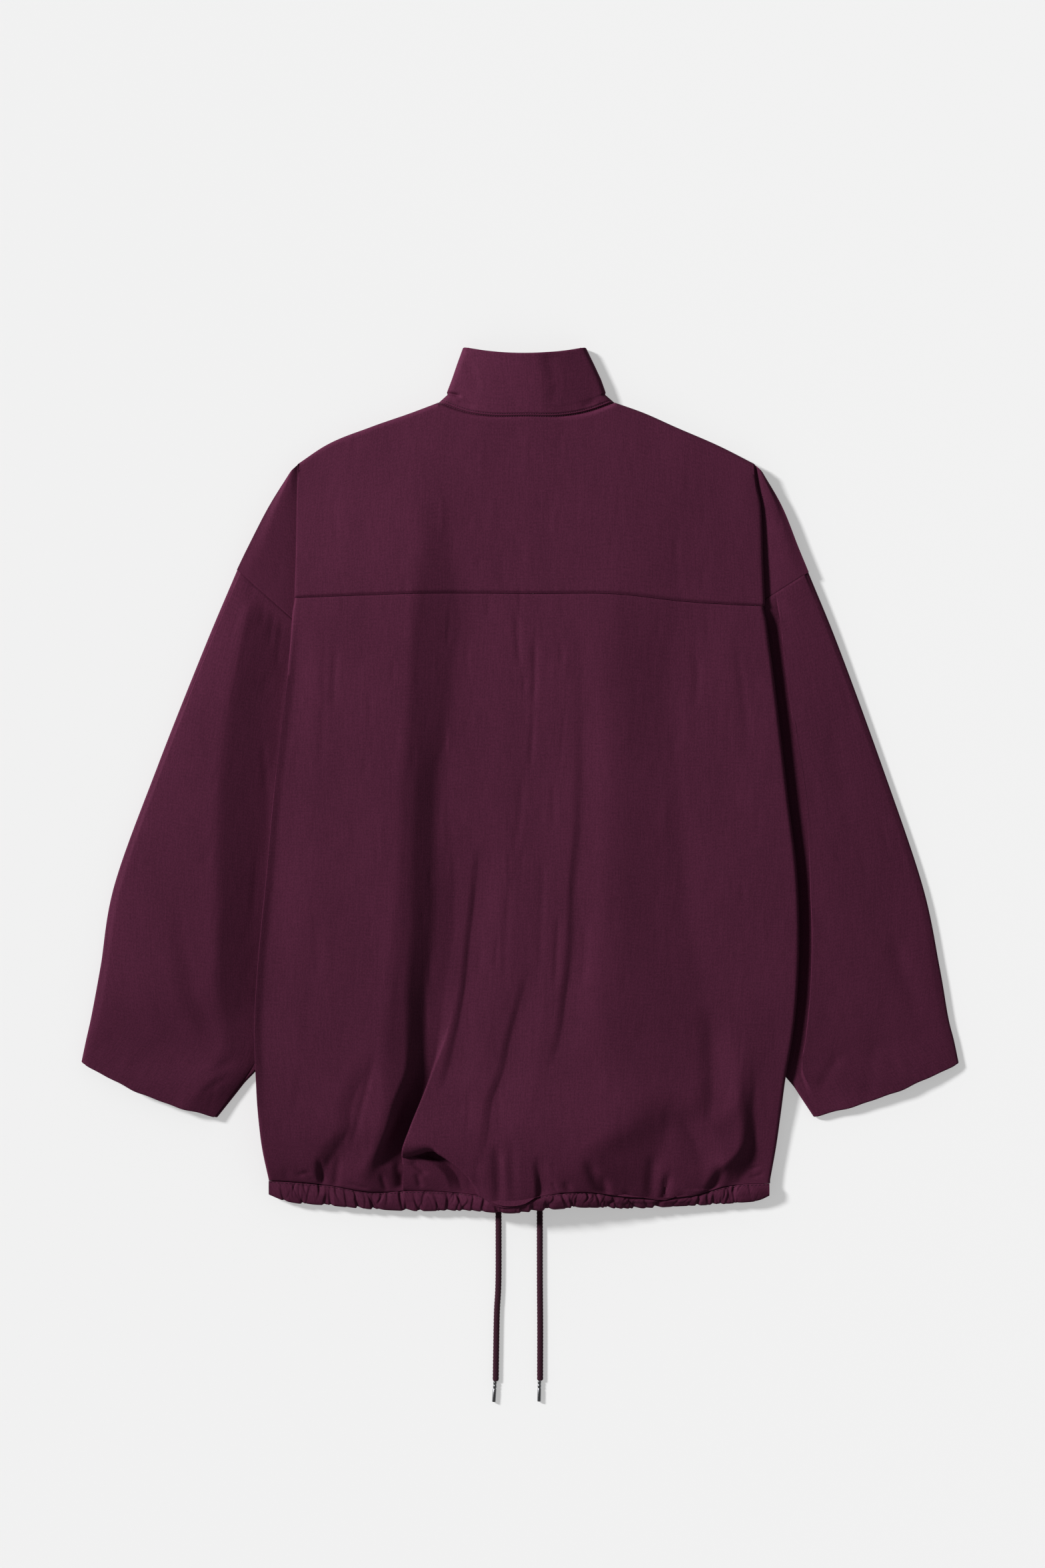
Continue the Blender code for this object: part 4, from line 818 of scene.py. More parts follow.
def foldRise(foot, crest, full):  # up the fold, round its outer edge and on to the body
    turns = np.linspace(-math.pi / 2, math.pi / 2, yoke["wallColumns"] + 2)[1:-1]
    shares = np.linspace(0, 1, yoke["wallColumns"] + 2)[1:-1]
    way = (crest - foot)[:, None]
    plain = foot[:, None] + np.clip(shares / yoke["foldPlan"], 0, 1)[None, :, None] * way
    plain[..., 2] = foot[:, None, 2] + ease(yoke["foldFoot"], 1, shares)[None] * way[..., 2]
    bulge = plain.copy()
    outward = yoke["foldIn"] + (1 - yoke["foldIn"]) * np.cos(turns)[None]
    bulge[..., 0] = crest[:, None, 0] - way[..., 0] * outward
    bulge[..., 2] = ((foot + crest)[:, None, 2] + way[..., 2] * np.sin(turns)[None]) / 2
    return plain + full[:, None, None] * (bulge - plain)


def yokeMiddle(parts):  # between the folds, from the shoulders and the neck down to the seam
    p = parts[:, None]
    leftX = np.linspace(yoke["leftShoulder"][0][0], neckLeft - body["cornerGap"], yoke["shoulderColumns"])
    neckX = neckStations(neckLeft, neckRight)
    rightX = np.linspace(neckRight + body["cornerGap"], yoke["rightShoulder"][-1][0],
                         yoke["shoulderColumns"])
    topX = np.concatenate([leftX, neckX, rightX])
    topY = np.concatenate([read(yoke["leftShoulder"], leftX), read(collar["seam"], neckX) - body["seamGap"],
                           read(yoke["rightShoulder"], rightX)])
    neckZ = collarHeight(neckX, neckLeft, neckRight, collar["backHeight"]) - yoke["neckStep"]
    rim = np.full(yoke["shoulderColumns"], body["rimTop"])
    topZ = np.concatenate([rim, np.maximum(neckZ, body["rimTop"]), rim])
    leftSeam, rightSeam = body["yokeSeam"][0][1], body["yokeSeam"][-1][1]
    seamFrom = read(body["sides"], leftSeam, 1) + read(body["sides"], leftSeam, 4) / 2
    seamTo = read(body["sides"], rightSeam, 2) - read(body["sides"], rightSeam, 5) / 2
    seamX = seamFrom + (topX - topX[0]) / (topX[-1] - topX[0]) * (seamTo - seamFrom)
    x = topX + p * (seamX - topX)
    y = topY + p * (read(body["yokeSeam"], seamX) - topY)
    z = topZ + (bodyHeight(x, y) - topZ) * quarter((topY - y) / yoke["shoulderRoll"])
    return np.stack([x, y, z - yoke["seamDip"] * np.exp(-((1 - p) / yoke["seamDipWide"]) ** 2)], -1)


def makeYoke():
    parts = stations(yoke["rows"])
    full = ease(*yoke["foldGrows"], parts)
    left, middle, right = dropRows("left", parts), yokeMiddle(parts), dropRows("right", parts)
    leftFold = foldRise(left[:, -1], middle[:, 0], full)
    rightFold = foldRise(right[:, -1], middle[:, -1], full)
    outer = np.concatenate([left, leftFold, middle, rightFold[:, ::-1], right[:, ::-1]], 1)
    return wallMesh("backYoke", outer, outer - (0, 0, yoke["wall"]))


yokePiece = place("backYoke", makeYoke(), clothMaterial, ["back_yoke"])


# lower back, rolled under at both sides and bloused over the hem casing
back = {"wall": 3.0, "lip": 10.0, "lipColumns": 4, "lipTurn": 0.8, "thin": 0.35, "lipThin": 0.62,
        "lipGone": -362, "lipFull": -330, "wallShare": 0.88,
        "rollTurns": [-90, -65, -40, -20, 0, 20, 40, 60, 76],
        "foldInset": 1.5, "foldFade": 0.03, "hangAt": 0.2, "seamDip": 0.15, "seamDipWide": 1.3,
        "blouse": [(-236, 0), (-200, 1.5), (-150, 1.5), (-120, 0.5), (-48, 0.5), (-36, 4.0), (-24, 10.0),
                   (-8, 11.0), (6, 9.0), (14, 5.0), (20, 1.5), (45, 1.5), (80, 3.0), (120, 4.5),
                   (150, 4.5), (168, 3.5), (190, 1.5), (234, 0)],
        "columns": [(0, 0), (0.16, 30), (0.215, 50), (0.58, 222), (0.87, 272), (0.955, 304), (1, 316)],
        "rows": [(0, 0), (0.012, 11), (0.78, 124), (0.82, 140), (1, 262)]}


def edgeRoll(crest, y, inward, rollIndex):  # the side rolled under to a lip, which ends above the hem
    full = ease(back["lipGone"], back["lipFull"], y)[:, None]
    floor = body["frontTop"]
    under = floor + full * (read(body["sides"], y, 3)[:, None] - floor)
    half = (crest[:, 2:] - under) / 2
    turns = np.radians(back["rollTurns"])
    x = crest[:, :1] - inward * read(body["sides"], y, rollIndex)[:, None] / 2 * np.cos(turns)
    z = under + half + half * np.sin(turns)
    shares = np.linspace(0, 1, back["lipColumns"], endpoint=False)
    lipX = crest[:, :1] + inward * back["lip"] * (2 - 2 * shares)
    lipZ = floor + ease(0, back["lipTurn"], shares) * (under - floor)
    level = back["rollTurns"].index(0)  # the outermost column
    lowX, lowZ = np.concatenate([lipX, x[:, :level]], 1), np.concatenate([lipZ, z[:, :level]], 1)
    sideX, sideZ = x[:, level:level + 1], z[:, level:level + 1]
    wallZ = floor + np.linspace(0, back["wallShare"], lowX.shape[1]) * (sideZ - floor)
    allX = np.concatenate([sideX + full * (lowX - sideX), x[:, level:]], 1)
    allZ = np.concatenate([wallZ + full * (lowZ - wallZ), z[:, level:]], 1)
    depth = np.minimum(back["wall"], back["thin"] * (crest[:, 2:] - floor))
    depth = depth * (1 - back["lipThin"] * 4 * full * (1 - full))
    columns = allX.shape[1]
    return np.stack([allX, np.repeat(y[:, None], columns, 1), allZ], -1), np.repeat(depth, columns, 1)


def makeBack():
    parts, shares = stations(back["rows"]), stations(back["columns"])
    inset = back["foldInset"] * (1 - ease(0, back["foldFade"], parts))
    ends = []
    for end, sign, index, rollIndex in ((0, -1, 1, 4), (-1, 1, 2, 5)):
        seamY, hemY = body["yokeSeam"][end][1], casing[end][1]
        guess = seamY + parts * (hemY - seamY)
        edgeX = read(body["sides"], guess, index) - sign * inset
        seam = read(body["yokeSeam"], edgeX) - body["cornerGap"]
        edgeY = seam + parts * (read(casing, edgeX, 1) + body["seamGap"] - seam)
        ends.append((edgeX - sign * read(body["sides"], guess, rollIndex) / 2, edgeY))
    x = ends[0][0][:, None] + shares * (ends[1][0] - ends[0][0])[:, None]
    seam = read(body["yokeSeam"], x) - body["yokeGap"]
    hem = read(casing, x, 1) + body["seamGap"]
    y = seam + parts[:, None] * (hem - seam)
    z = bodyHeight(x, y) - back["seamDip"] * np.exp(-((seam - y) / back["seamDipWide"]) ** 2)
    roll = np.clip((y - hem) / body["hemRoll"], 0, 1)
    hang = roll / back["hangAt"] * np.exp(1 - roll / back["hangAt"])
    hang -= roll / back["hangAt"] * math.exp(1 - 1 / back["hangAt"])
    y = y - read(back["blouse"], x) * hang  # the blouse hangs over its seam
    leanX, leanY = rimLean(x, y)
    top = np.stack([x - leanOver(x, y) + leanX, y + leanY, z], -1)
    left, leftDepth = edgeRoll(top[:, 0], ends[0][1], 1, 4)
    right, rightDepth = edgeRoll(top[:, -1], ends[1][1], -1, 5)
    outer = np.concatenate([left, top, right[:, ::-1]], 1)
    depth = np.concatenate([leftDepth, np.full(x.shape, back["wall"]), rightDepth], 1)
    inner = inside(outer, depth)
    for row in (0, -1):
        inner[row] = outer[row] - (outer[row] - inner[row]) * (1, 0, 1)
    return wallMesh("lowerBack", outer, inner)


backPiece = place("lowerBack", makeBack(), clothMaterial, ["back_panel"])


# sleeves, flattened tubes on the floor
sleeve = {
    "seamEdge": 8.0, "innerEdge": 4.6, "wall": 1.9, "topColumns": 92, "turnColumns": 9, "underColumns": 16,
    "capRows": 4, "rows": 206, "seamRows": (0.009, 7), "length": 440.0, "cuffRound": 1.4, "edgeBlend": 0.3,
    "seamBlend": 0.06, "thinDrop": 0.4, "lowest": 4.4, "lipWide": (10.0, 0.25), "lipUp": (-285, -255),
    "lipDown": (150, 185), "swellFrom": 0.72, "bowFrom": 0.8, "waveFrom": 0.9,
    "waves": [(0.35, 19, 0), (0.25, 33, 1)],  # height, pace and shift of the cuff's waves
    "fineCreases": 170, "fineDepth": 0.11, "creaseFade": (0.1, 0.92), "search": 300, "dropStart": (0.2, 0.9),
    "dropLeast": 0.003, "dropEnd": 0.95, "before": 0.05, "after": 0.03,
    "columnShares": (0, 0.42, 0.54, 0.74, 0.82, 1)}
sleeves = {
    "left": {
        "edge": 7.0, "rise": 0.5, "turn": 0.14, "lip": 0.0, "lean": 14.0, "seed": 21, "toBody": 1, "bow": 5.5,
        "swell": 0.0, "steep": [(-315, 0.65), (-272, 0.7), (-225, 1.3), (196, 1.3)],
        "rows": [  # outer edge and inner edge, from the armhole to the cuff
            (-263.5, 195.2, -203.6, 141.6), (-294, 123, -204, 92), (-338, 12, -218, -18),
            (-378, -98, -227.4, -126), (-391, -174, -232, -202), (-399.5, -220, -238.6, -258),
            (-404.6, -243, -258.9, -285.3), (-408.8, -263, -282.6, -315.2)],
        "step": [  # y, x where the drop beside the body starts and ends, height before and after
            (-315, -312, -280, 10.4, 4.8), (-300, -306, -272, 11.4, 4.8), (-280, -292, -257, 12, 4.6),
            (-262, -282, -246, 9.8, 4.6), (-250, -276, -241, 9.4, 4.6), (-225, -277, -241, 12, 4.5),
            (-205, -281, -241, 15, 4.3), (-150, -282, -240, 15.8, 4.2), (-100, -282, -237, 15, 4.2),
            (-50, -282, -233, 14.6, 4.2), (0, -280, -229, 13.6, 4.2), (40, -275, -225, 13.2, 4.4),
            (80, -269, -221, 13.4, 4.4), (120, -261, -215, 13, 4.6), (150, -255, -214, 12.4, 4.8),
            (172, -248, -214, 11, 6), (196, -240, -214, 9, 7)],
        "terrace": [(-252, -300, -280, 0), (-240, -304, -284, 1.0), (-225, -311, -287, 2.6),
                    (-200, -325, -299, 3.0), (-175, -327, -305, 2.2), (-150, -329, -312, 1.3),
                    (-125, -328, -313, 0.5), (-96, -330, -316, 0)],
        "creases": [(-238, 168, -241, 140, 0.3, 2.2), (-229, 160, -234, 120, 0.4, 2.4),
                    (-221, 154, -227, 100, 0.4, 2.4), (-262, -258, -300, -280, 0.4, 4.0),
                    (-268, -274, -298, -292, 0.4, 3.4), (-236, -20, -240, 40, 0.5, 2.6),
                    (-232, 20, -236, -40, 0.5, 2.6), (-244, -60, -250, -140, 0.4, 3.0),
                    (-240, -150, -246, -214, 0.4, 2.8)]},
    "right": {
        "edge": 5.2, "rise": 0.7, "turn": 0.06, "lip": 1.4, "lean": -14.0, "seed": 22, "toBody": -1,
        "bow": 4.5, "swell": 2.6, "steep": [(-315, 1.0), (196, 1.0)],
        "rows": [
            (268.5, 193, 214.2, 158.4), (297, 123, 223, 88), (337.6, 12, 237.5, -18),
            (375, -98.5, 246, -126), (390.9, -174, 243.5, -207), (399, -221, 240.6, -262),
            (404.4, -243, 257, -289), (408.8, -264, 273.8, -314.6)],
        "step": [
            (-315, 280, 276, 5.3, 5), (-290, 271, 267, 6.2, 5.4), (-272, 263.6, 262.4, 9.6, 4.2),
            (-240, 266.8, 266.3, 12.4, 4.2), (-200, 270.8, 270.3, 13, 4.2), (-150, 272.4, 271.9, 13, 4.2),
            (-100, 271, 270.5, 13, 4.2), (-50, 269, 268.5, 13, 4.2), (0, 263.2, 262.7, 12.6, 4.2),
            (50, 255.4, 254.9, 12, 4.2), (100, 248.2, 247.7, 11.4, 4.4), (150, 242.8, 241.9, 10.4, 4.8),
            (172, 239.2, 237.3, 9.4, 5.8), (196, 234, 230.4, 9.2, 7)],
        "terrace": [],
        "creases": [(344, -140, 374, -228, 1.1, 9.0), (300, -250, 276, -292, 0.6, 5.0),
                    (330, -240, 322, -300, 0.5, 6.0), (286, 60, 306, -40, 0.3, 9.0),
                    (352, -20, 376, -110, -0.3, 9.0), (392, -226, 404, -234, 0.8, 3.0)]},
}


def stepColumns(own, outerEdge, line, wide):  # columns closer together on the drop beside the body
    dense = np.linspace(0, 1, sleeve["search"])
    plan = outerEdge[:, None] + (dense * wide)[..., None] * line[:, None]
    crossings = []
    for index in (1, 2):
        past = (plan[..., 0] - read(own["step"], plan[..., 1], index)) * own["toBody"]
        crossings.append(np.array([np.interp(0, row, dense) for row in past]))
    start = np.clip(crossings[0], *sleeve["dropStart"])
    end = np.clip(crossings[1], start + sleeve["dropLeast"], sleeve["dropEnd"])
    knots = [0 * start, start - sleeve["before"], start, end, end + sleeve["after"], 0 * start + 1]
    spots = np.linspace(0, 1, sleeve["topColumns"])[1:-1]
    return np.array([np.interp(spots, sleeve["columnShares"], row) for row in np.stack(knots, -1)])


def sleeveTop(side, p, plan, edgeX, ro, topShare, topAt):  # height, and how far each point is past the drop
    own = sleeves[side]
    x, y = plan[..., 0], plan[..., 1]
    start, end, crest, low = (read(own["step"], y, i) for i in (1, 2, 3, 4))
    toStart = np.clip((x - edgeX) / (start - edgeX), 0, 1)
    z = 2 * ro + (crest - 2 * ro) * toStart ** own["rise"]
    if own["terrace"]:  # a soft fall across the sleeve
        fallFrom, fallTo, fall = (read(own["terrace"], y, i) for i in (1, 2, 3))
        z = z - fall * ease(0, 1, (x - fallFrom) / (fallTo - fallFrom))
    past = (x - start) * own["toBody"]
    drop = past / np.maximum((end - start) * own["toBody"], sleeve["thinDrop"])
    drop = 1 - (1 - np.clip(ramp(drop, own["turn"]), 0, 1)) ** readStraight(own["steep"], y)
    z = z + (low - z) * drop
    seamZ = dropHeight(topShare, topAt)
    z = seamZ + (z - seamZ) * ease(0, sleeve["seamBlend"], p)
    fine = crinkles(own["seed"], sleeve["fineCreases"], (x.min(), y.min(), x.max(), y.max()), own["lean"],
                    depth=sleeve["fineDepth"])
    fadeIn, fadeOut = sleeve["creaseFade"]
    fade = ease(0, fadeIn, topShare)
    z = z - (strokes(x, y, own["creases"]) + strokes(x, y, fine)) * fade * (1 - ease(fadeOut, 1, topShare))
    z = z - yoke["dip"][side] * np.exp(-(p * sleeve["length"]) ** 2) * fade
    z = z + own["swell"] * np.sin(math.pi * topShare) * ease(sleeve["swellFrom"], 1, p)
    return np.maximum(z, sleeve["lowest"]), past


def makeSleeve(side):
    own = sleeves[side]
    cuffAt = 1 - sleeve["cuffRound"] / sleeve["length"]
    parts = stations([(0, 0), sleeve["seamRows"], (cuffAt, sleeve["rows"])])
    p = parts[:, None]
    outerEdge, innerEdge = trace(own["rows"], parts), trace(own["rows"], parts, 2)
    line = unit(innerEdge - outerEdge)
    wide = np.linalg.norm(innerEdge - outerEdge, axis=-1)[:, None]
    ro = (own["edge"] + (sleeve["seamEdge"] - own["edge"]) * (1 - ease(0, sleeve["edgeBlend"], p))) / 2
    ri = sleeve["innerEdge"] / 2
    turns = np.linspace(-math.pi / 2, math.pi / 2, sleeve["turnColumns"])[None]
    topShare = stepColumns(own, outerEdge, line, wide)
    topAt = ro + topShare * (wide - ro - ri)
    plan = outerEdge[:, None] + topAt[..., None] * line[:, None]
    z, past = sleeveTop(side, p, plan, outerEdge[:, :1], ro, topShare, topAt)
    lip = own["lip"] * np.exp(-(past / np.where(past < 0, *sleeve["lipWide"])) ** 2)
    lip = lip * ease(*sleeve["lipUp"], plan[..., 1]) * (1 - ease(*sleeve["lipDown"], plan[..., 1]))
    topAt = topAt + lip
    underAt = ro + np.linspace(1, 0, sleeve["underColumns"])[None, 1:-1] * (wide - ro - ri)
    innerAt = wide - ri + ri * np.cos(turns[:, ::-1])
    innerZ = np.repeat(ri + ri * np.sin(turns[:, ::-1]), len(parts), 0)
    at = np.concatenate([ro - ro * np.cos(turns), topAt, innerAt, underAt], 1)
    level = np.concatenate([ro + ro * np.sin(turns), z, innerZ, np.zeros(underAt.shape)], 1)
    plan = outerEdge[:, None] + at[..., None] * line[:, None]
    along = np.array([line[-1][1], -line[-1][0]]) * own["toBody"]
    wave = sum(high * np.sin(topShare * pace + shift) for high, pace, shift in sleeve["waves"])
    wave = wave * ease(sleeve["waveFrom"], 1, p)
    first, last = sleeve["turnColumns"], sleeve["turnColumns"] + topAt.shape[1]
    plan[:, first:last] += wave[..., None] * along
    bow = own["bow"] * np.sin(math.pi * np.clip(at / wide, 0, 1)) * ease(sleeve["bowFrom"], 1, p)
    outer = np.concatenate([plan + bow[..., None] * along, level[..., None]], -1)
    inner = inside(outer, np.full(outer.shape[:2], sleeve["wall"]), closed=True)
    cap = roundCap(outer[-1], outer[-2], inner[-1], sleeve["capRows"])
    return wallMesh(f"sleeve_{side}", outer, inner, closed=True, caps=(None, cap))


for side in ("left", "right"):
    sleevePiece = place(f"wideSleeve_{side}", makeSleeve(side), clothMaterial, [f"sleeve_{side}"])


# gathered casing along the back hem
hem = {"roll": 4.6, "rollClear": 0.5, "wall": 2.0, "thin": 0.6, "columns": 860, "bandRows": 18,
       "turnRows": 12, "turn": 176.0, "bandShare": 0.7, "inset": 2.0, "swell": 1.5, "swellShare": 0.75,
       "lift": 0.5, "scallop": 0.6, "scallopRow": 3, "deepest": 3.2, "pleatTurn": 0.15, "sway": 1.3,
       "bends": 5, "endFade": 12.0, "endPuff": 0.35, "hang": 0.55, "under": 0.3, "seamDrop": 0.8,
       "clear": 0.2, "innerClear": 0.25, "peaks": [(0.05, 0.4), (0.5, 0.95)], "seeds": (7, 9),
       "large": {"shift": 1, "slant": 4, "deep": (0.8, 1.2), "left": (1.2, 2.6), "right": (3.0, 9.0),
                 "spread": (0.3, 0.6)},
       "small": {"count": 54, "between": (-226, 206), "slant": 6, "deep": (0.25, 1.1), "left": (0.8, 2.0),
                 "right": (1.5, 6.0), "spread": (0.2, 0.45)},
       "gathers": [  # x and depth of the main pleats
           (-222, 0.8), (-206, 1.2), (-196, 0.7), (-186, 2.6), (-181, 1.8), (-175, 2.4), (-164, 1.2),
           (-152, 2.4), (-143, 2.8), (-136, 1.4), (-124, 1.2), (-113, 2.8), (-106, 2.2), (-99, 1.4),
           (-88, 0.9), (-78, 1.2), (-68, 2.8), (-60, 2.2), (-51, 1.2), (-42, 1.6), (-33, 2.2), (-24, 1.4),
           (-11, 1.0), (3, 1.4), (14, 2.6), (25, 2.2), (31, 1.4), (38, 1.6), (47, 2.8), (54, 1.4),
           (61, 2.2), (70, 2.4), (76, 1.6), (84, 3.0), (95, 0.8), (104, 2.4), (117, 0.8), (131, 3.0),
           (147, 0.8), (158, 1.0), (167, 2.8), (174, 1.6), (181, 2.6), (186, 1.6), (192, 2.4), (200, 2.8),
           (213, 0.5), (223, 0.4)]}


def gatherRows():  # x at the seam, x at the lower edge, depth, width each way, spread down the band
    rng = np.random.default_rng(hem["seeds"][0])
    large, small = hem["large"], hem["small"]
    rows = []
    for x, depth in hem["gathers"]:
        rows.append((x + rng.normal(0, large["shift"]), x + rng.normal(0, large["slant"]),
                     depth * rng.uniform(*large["deep"]),
                     *(rng.uniform(*large[name]) for name in ("left", "right", "spread"))))
    for _ in range(small["count"]):
        x = rng.uniform(*small["between"])
        rows.append((x, x + rng.normal(0, small["slant"]),
                     *(rng.uniform(*small[name]) for name in ("deep", "left", "right", "spread"))))
    return rows


def hemPleats(x, v):  # depth of the gathers, which bend a little and are deepest near one edge
    rng = np.random.default_rng(hem["seeds"][1])
    pleat = np.zeros((len(v), len(x)))
    for seamX, lowX, depth, left, right, spread in gatherRows():
        bend = rng.normal(0, hem["sway"]) * np.sin(hem["bends"] * v)
        off = x - (seamX + (lowX - seamX) * v + bend)
        u = np.where(off < 0, -off / left, off / right)
        peak = rng.choice([rng.uniform(*between) for between in hem["peaks"]])
        pleat += depth * np.exp(-((v - peak) / spread) ** 2) * pleatShape(u, hem["pleatTurn"])
    return hem["deepest"] * (1 - np.exp(-pleat / hem["deepest"]))


def makeHem():
    x = np.linspace(casing[0][0] + hem["inset"], casing[-1][0] - hem["inset"], hem["columns"])
    seam = read(casing, x, 1) - body["seamGap"]
    bottom, height = read(casing, x, 2), read(casing, x, 3)
    radius = np.minimum(hem["roll"], (height - body["frontTop"] - hem["rollClear"]) / 2)
    band = np.linspace(0, 1, hem["bandRows"])
    turns = np.linspace(0, math.radians(hem["turn"]), hem["turnRows"])[1:]
    share = hem["bandShare"]
    v = np.concatenate([band * share, share + (1 - share) * turns / turns[-1]])[:, None]
    pleat = hemPleats(x, v)
    endFade = ease(0, hem["endFade"], np.minimum(x - x[0], x[-1] - x))
    puff = hem["swell"] * np.sin(math.pi * np.clip(v / hem["swellShare"], 0, 1)) - pleat + hem["lift"]
    puff = puff * (hem["endPuff"] + (1 - hem["endPuff"]) * endFade)
    bottom = bottom + hem["scallop"] * pleat[hem["bandRows"] + hem["scallopRow"]]
    arcY = bottom + radius - radius * np.sin(turns)[:, None]
    arcZ = height - radius + radius * np.cos(turns)[:, None]
    y = np.concatenate([seam + band[:, None] * (bottom + radius - seam), arcY])
    z = np.concatenate([np.repeat(height[None], len(band), 0), arcZ])
    tilt = np.concatenate([np.zeros(len(band)), turns])[:, None]
    y = y - hem["hang"] * puff * np.sin(tilt)
    z = z + puff * np.cos(tilt) * np.where(tilt > math.pi / 2, hem["under"], 1)
    z[0] = z[0] - hem["seamDrop"]
    z = np.maximum(z, body["frontTop"] + hem["clear"])
    outer = np.stack([np.repeat(x[None], len(y), 0), y, z], -1)
    inner = inside(outer, np.repeat(np.minimum(hem["wall"], hem["thin"] * radius)[None], len(y), 0))
    inner[0] = outer[0] - np.array([0, 0, hem["wall"]])
    inner[..., 2] = np.maximum(inner[..., 2], body["frontTop"] + hem["innerClear"])
    return wallMesh("hemCasing", outer, inner), outer


hemMesh, hemGrid = makeHem()
hemPiece = place("hemCasing", hemMesh, clothMaterial, ["hem_back"])


# fronts, placket and front casings: plain and flat on the floor
front = {"wall": 4.0, "hem": -375.0, "tuck": 3.0, "clear": 1.6, "casing": 18.0, "endTuck": 6.0,
         "endLift": 8.0, "columns": 60, "rows": (90, 12, 20), "neckColumns": 22, "armStep": 0.8,
         "soft": 1.2, "softWide": 1.2, "casingColumns": 150, "casingRows": 12, "ripple": 0.6,
         "ripples": (0.9, 0.23), "rippleShift": 1, "rippleIn": 0.2, "endCurve": 3, "placketRows": 160,
         "placketColumns": 14}


def plate(name, outer):  # flat underside, softly rounded upper edge
    rows, cols = outer.shape[:2]
    top = outer + (0, 0, front["wall"])
    r = np.minimum(np.arange(rows), np.arange(rows)[::-1])[:, None]
    c = np.minimum(np.arange(cols), np.arange(cols)[::-1])[None]
    top[..., 2] -= front["soft"] * np.exp(-np.minimum(r, c) / front["softWide"])
    return wallMesh(name, top, outer, coarse=1)


def frontSide(rows, outline, y, sign):  # x of the outer edge: under the yoke, the armhole and the side
    if y > rows[0][1] + body["seamGap"]:
        return readStraight(sorted((row[1], row[0]) for row in outline), y)
    if y > rows[0][3]:
        part = (y - body["seamGap"] - rows[0][3]) / (rows[0][1] - rows[0][3])
        return rows[0][2] + np.clip(part, 0, 1) * (rows[0][0] - rows[0][2])
    edge = read(body["sides"], y, 1 if sign < 0 else 2) - sign * front["tuck"]
    tucked = through(column(rows, 3)[::-1], column(rows, 2)[::-1], y) - sign * front["clear"]
    return max(edge, tucked) if sign < 0 else min(edge, tucked)


def frontGrid(side, sign, start):
    rows = sleeves[side]["rows"]
    outline = yoke[f"{side}Drop"] + yoke[f"{side}Shoulder"]
    neckEnd = (neckLeft if sign < 0 else neckRight) - sign * collar["edge"] / 2
    neckX = np.linspace(start, neckEnd, front["neckColumns"])
    spot = (neckX - (neckLeft + neckRight) / 2) / ((neckRight - neckLeft - collar["edge"]) / 2)
    neckY = collar["seam"][0][1] - collar["frontDrop"] * (1 - spot ** 2) - body["seamGap"]
    knots = (front["hem"] + body["seamGap"], rows[0][3], rows[0][1] + front["armStep"], neckY[0])
    levels = [np.linspace(low, high, count)[:-1] for low, high, count in zip(knots, knots[1:], front["rows"])]
    levels = np.concatenate(levels + [neckY])
    begins = np.concatenate([np.full(len(levels) - len(neckX), start), neckX])
    grid = []
    for y, x0 in zip(levels, begins):
        x = np.linspace(x0, frontSide(rows, outline, y, sign), front["columns"])
        grid.append(np.stack([x, np.full(len(x), y), np.zeros(len(x))], -1))
    return np.array(grid)


def casingGrid(sign, start):
    reach = casing[0 if sign < 0 else -1][0] - sign * front["endTuck"]
    x = np.linspace(start, reach, front["casingColumns"])
    part = (x - start) / (reach - start)
    bottom = front["hem"] - front["casing"] + front["endLift"] * part ** front["endCurve"]
    fast, slow = front["ripples"]
    ripple = front["ripple"] * np.sin(x * fast) * np.sin(x * slow + front["rippleShift"])
    bottom = bottom + ripple * ease(0, front["rippleIn"], part)
    shares = np.linspace(0, 1, front["casingRows"])
    levels = [front["hem"] + share * (bottom - front["hem"]) for share in shares]
    return np.array([np.stack([x, level, 0 * x], -1) for level in levels])


def placketGrid():
    levels = np.linspace(front["hem"] - front["casing"], collar["ends"][-1][3] - collar["topFrontDrop"],
                         front["placketRows"])
    x = plackets["centre"] + plackets["width"] / 2 * np.linspace(-1, 1, front["placketColumns"])
    return np.array([np.stack([x, np.full(len(x), y), np.zeros(len(x))], -1) for y in levels])


def placeFlat(name, grid, node):
    return place(name, plate(name, grid), clothMaterial, [node])


for side, sign in (("left", -1), ("right", 1)):
    start = plackets["centre"] + sign * (plackets["width"] / 2 + body["seamGap"])
    frontPiece = placeFlat(f"frontPanel_{side}", frontGrid(side, sign, start), f"front_{side}")
    stripPiece = placeFlat(f"frontCasing_{side}", casingGrid(sign, start), f"hem_front_{side}")

placketPiece = placeFlat("frontPlacket", placketGrid(), "front_placket")


# stitches, set along a line by Geometry Nodes
stitch = {"length": 2.6, "gap": 0.9, "thread": 0.55, "sides": 8, "rings": 6,
          "neckRows": {"neckStitchesLow": 1.6, "neckStitchesHigh": 8.6}, "neckInset": 9, "neckLift": 0.12,
          "neck": {"Stitch length": 1.5, "Gap": 0.75}, "hemRow": 1.4, "hemInset": 3, "hemLift": 0.05,
          "hem": {"Stitch length": 2.8, "Gap": 0.9}}


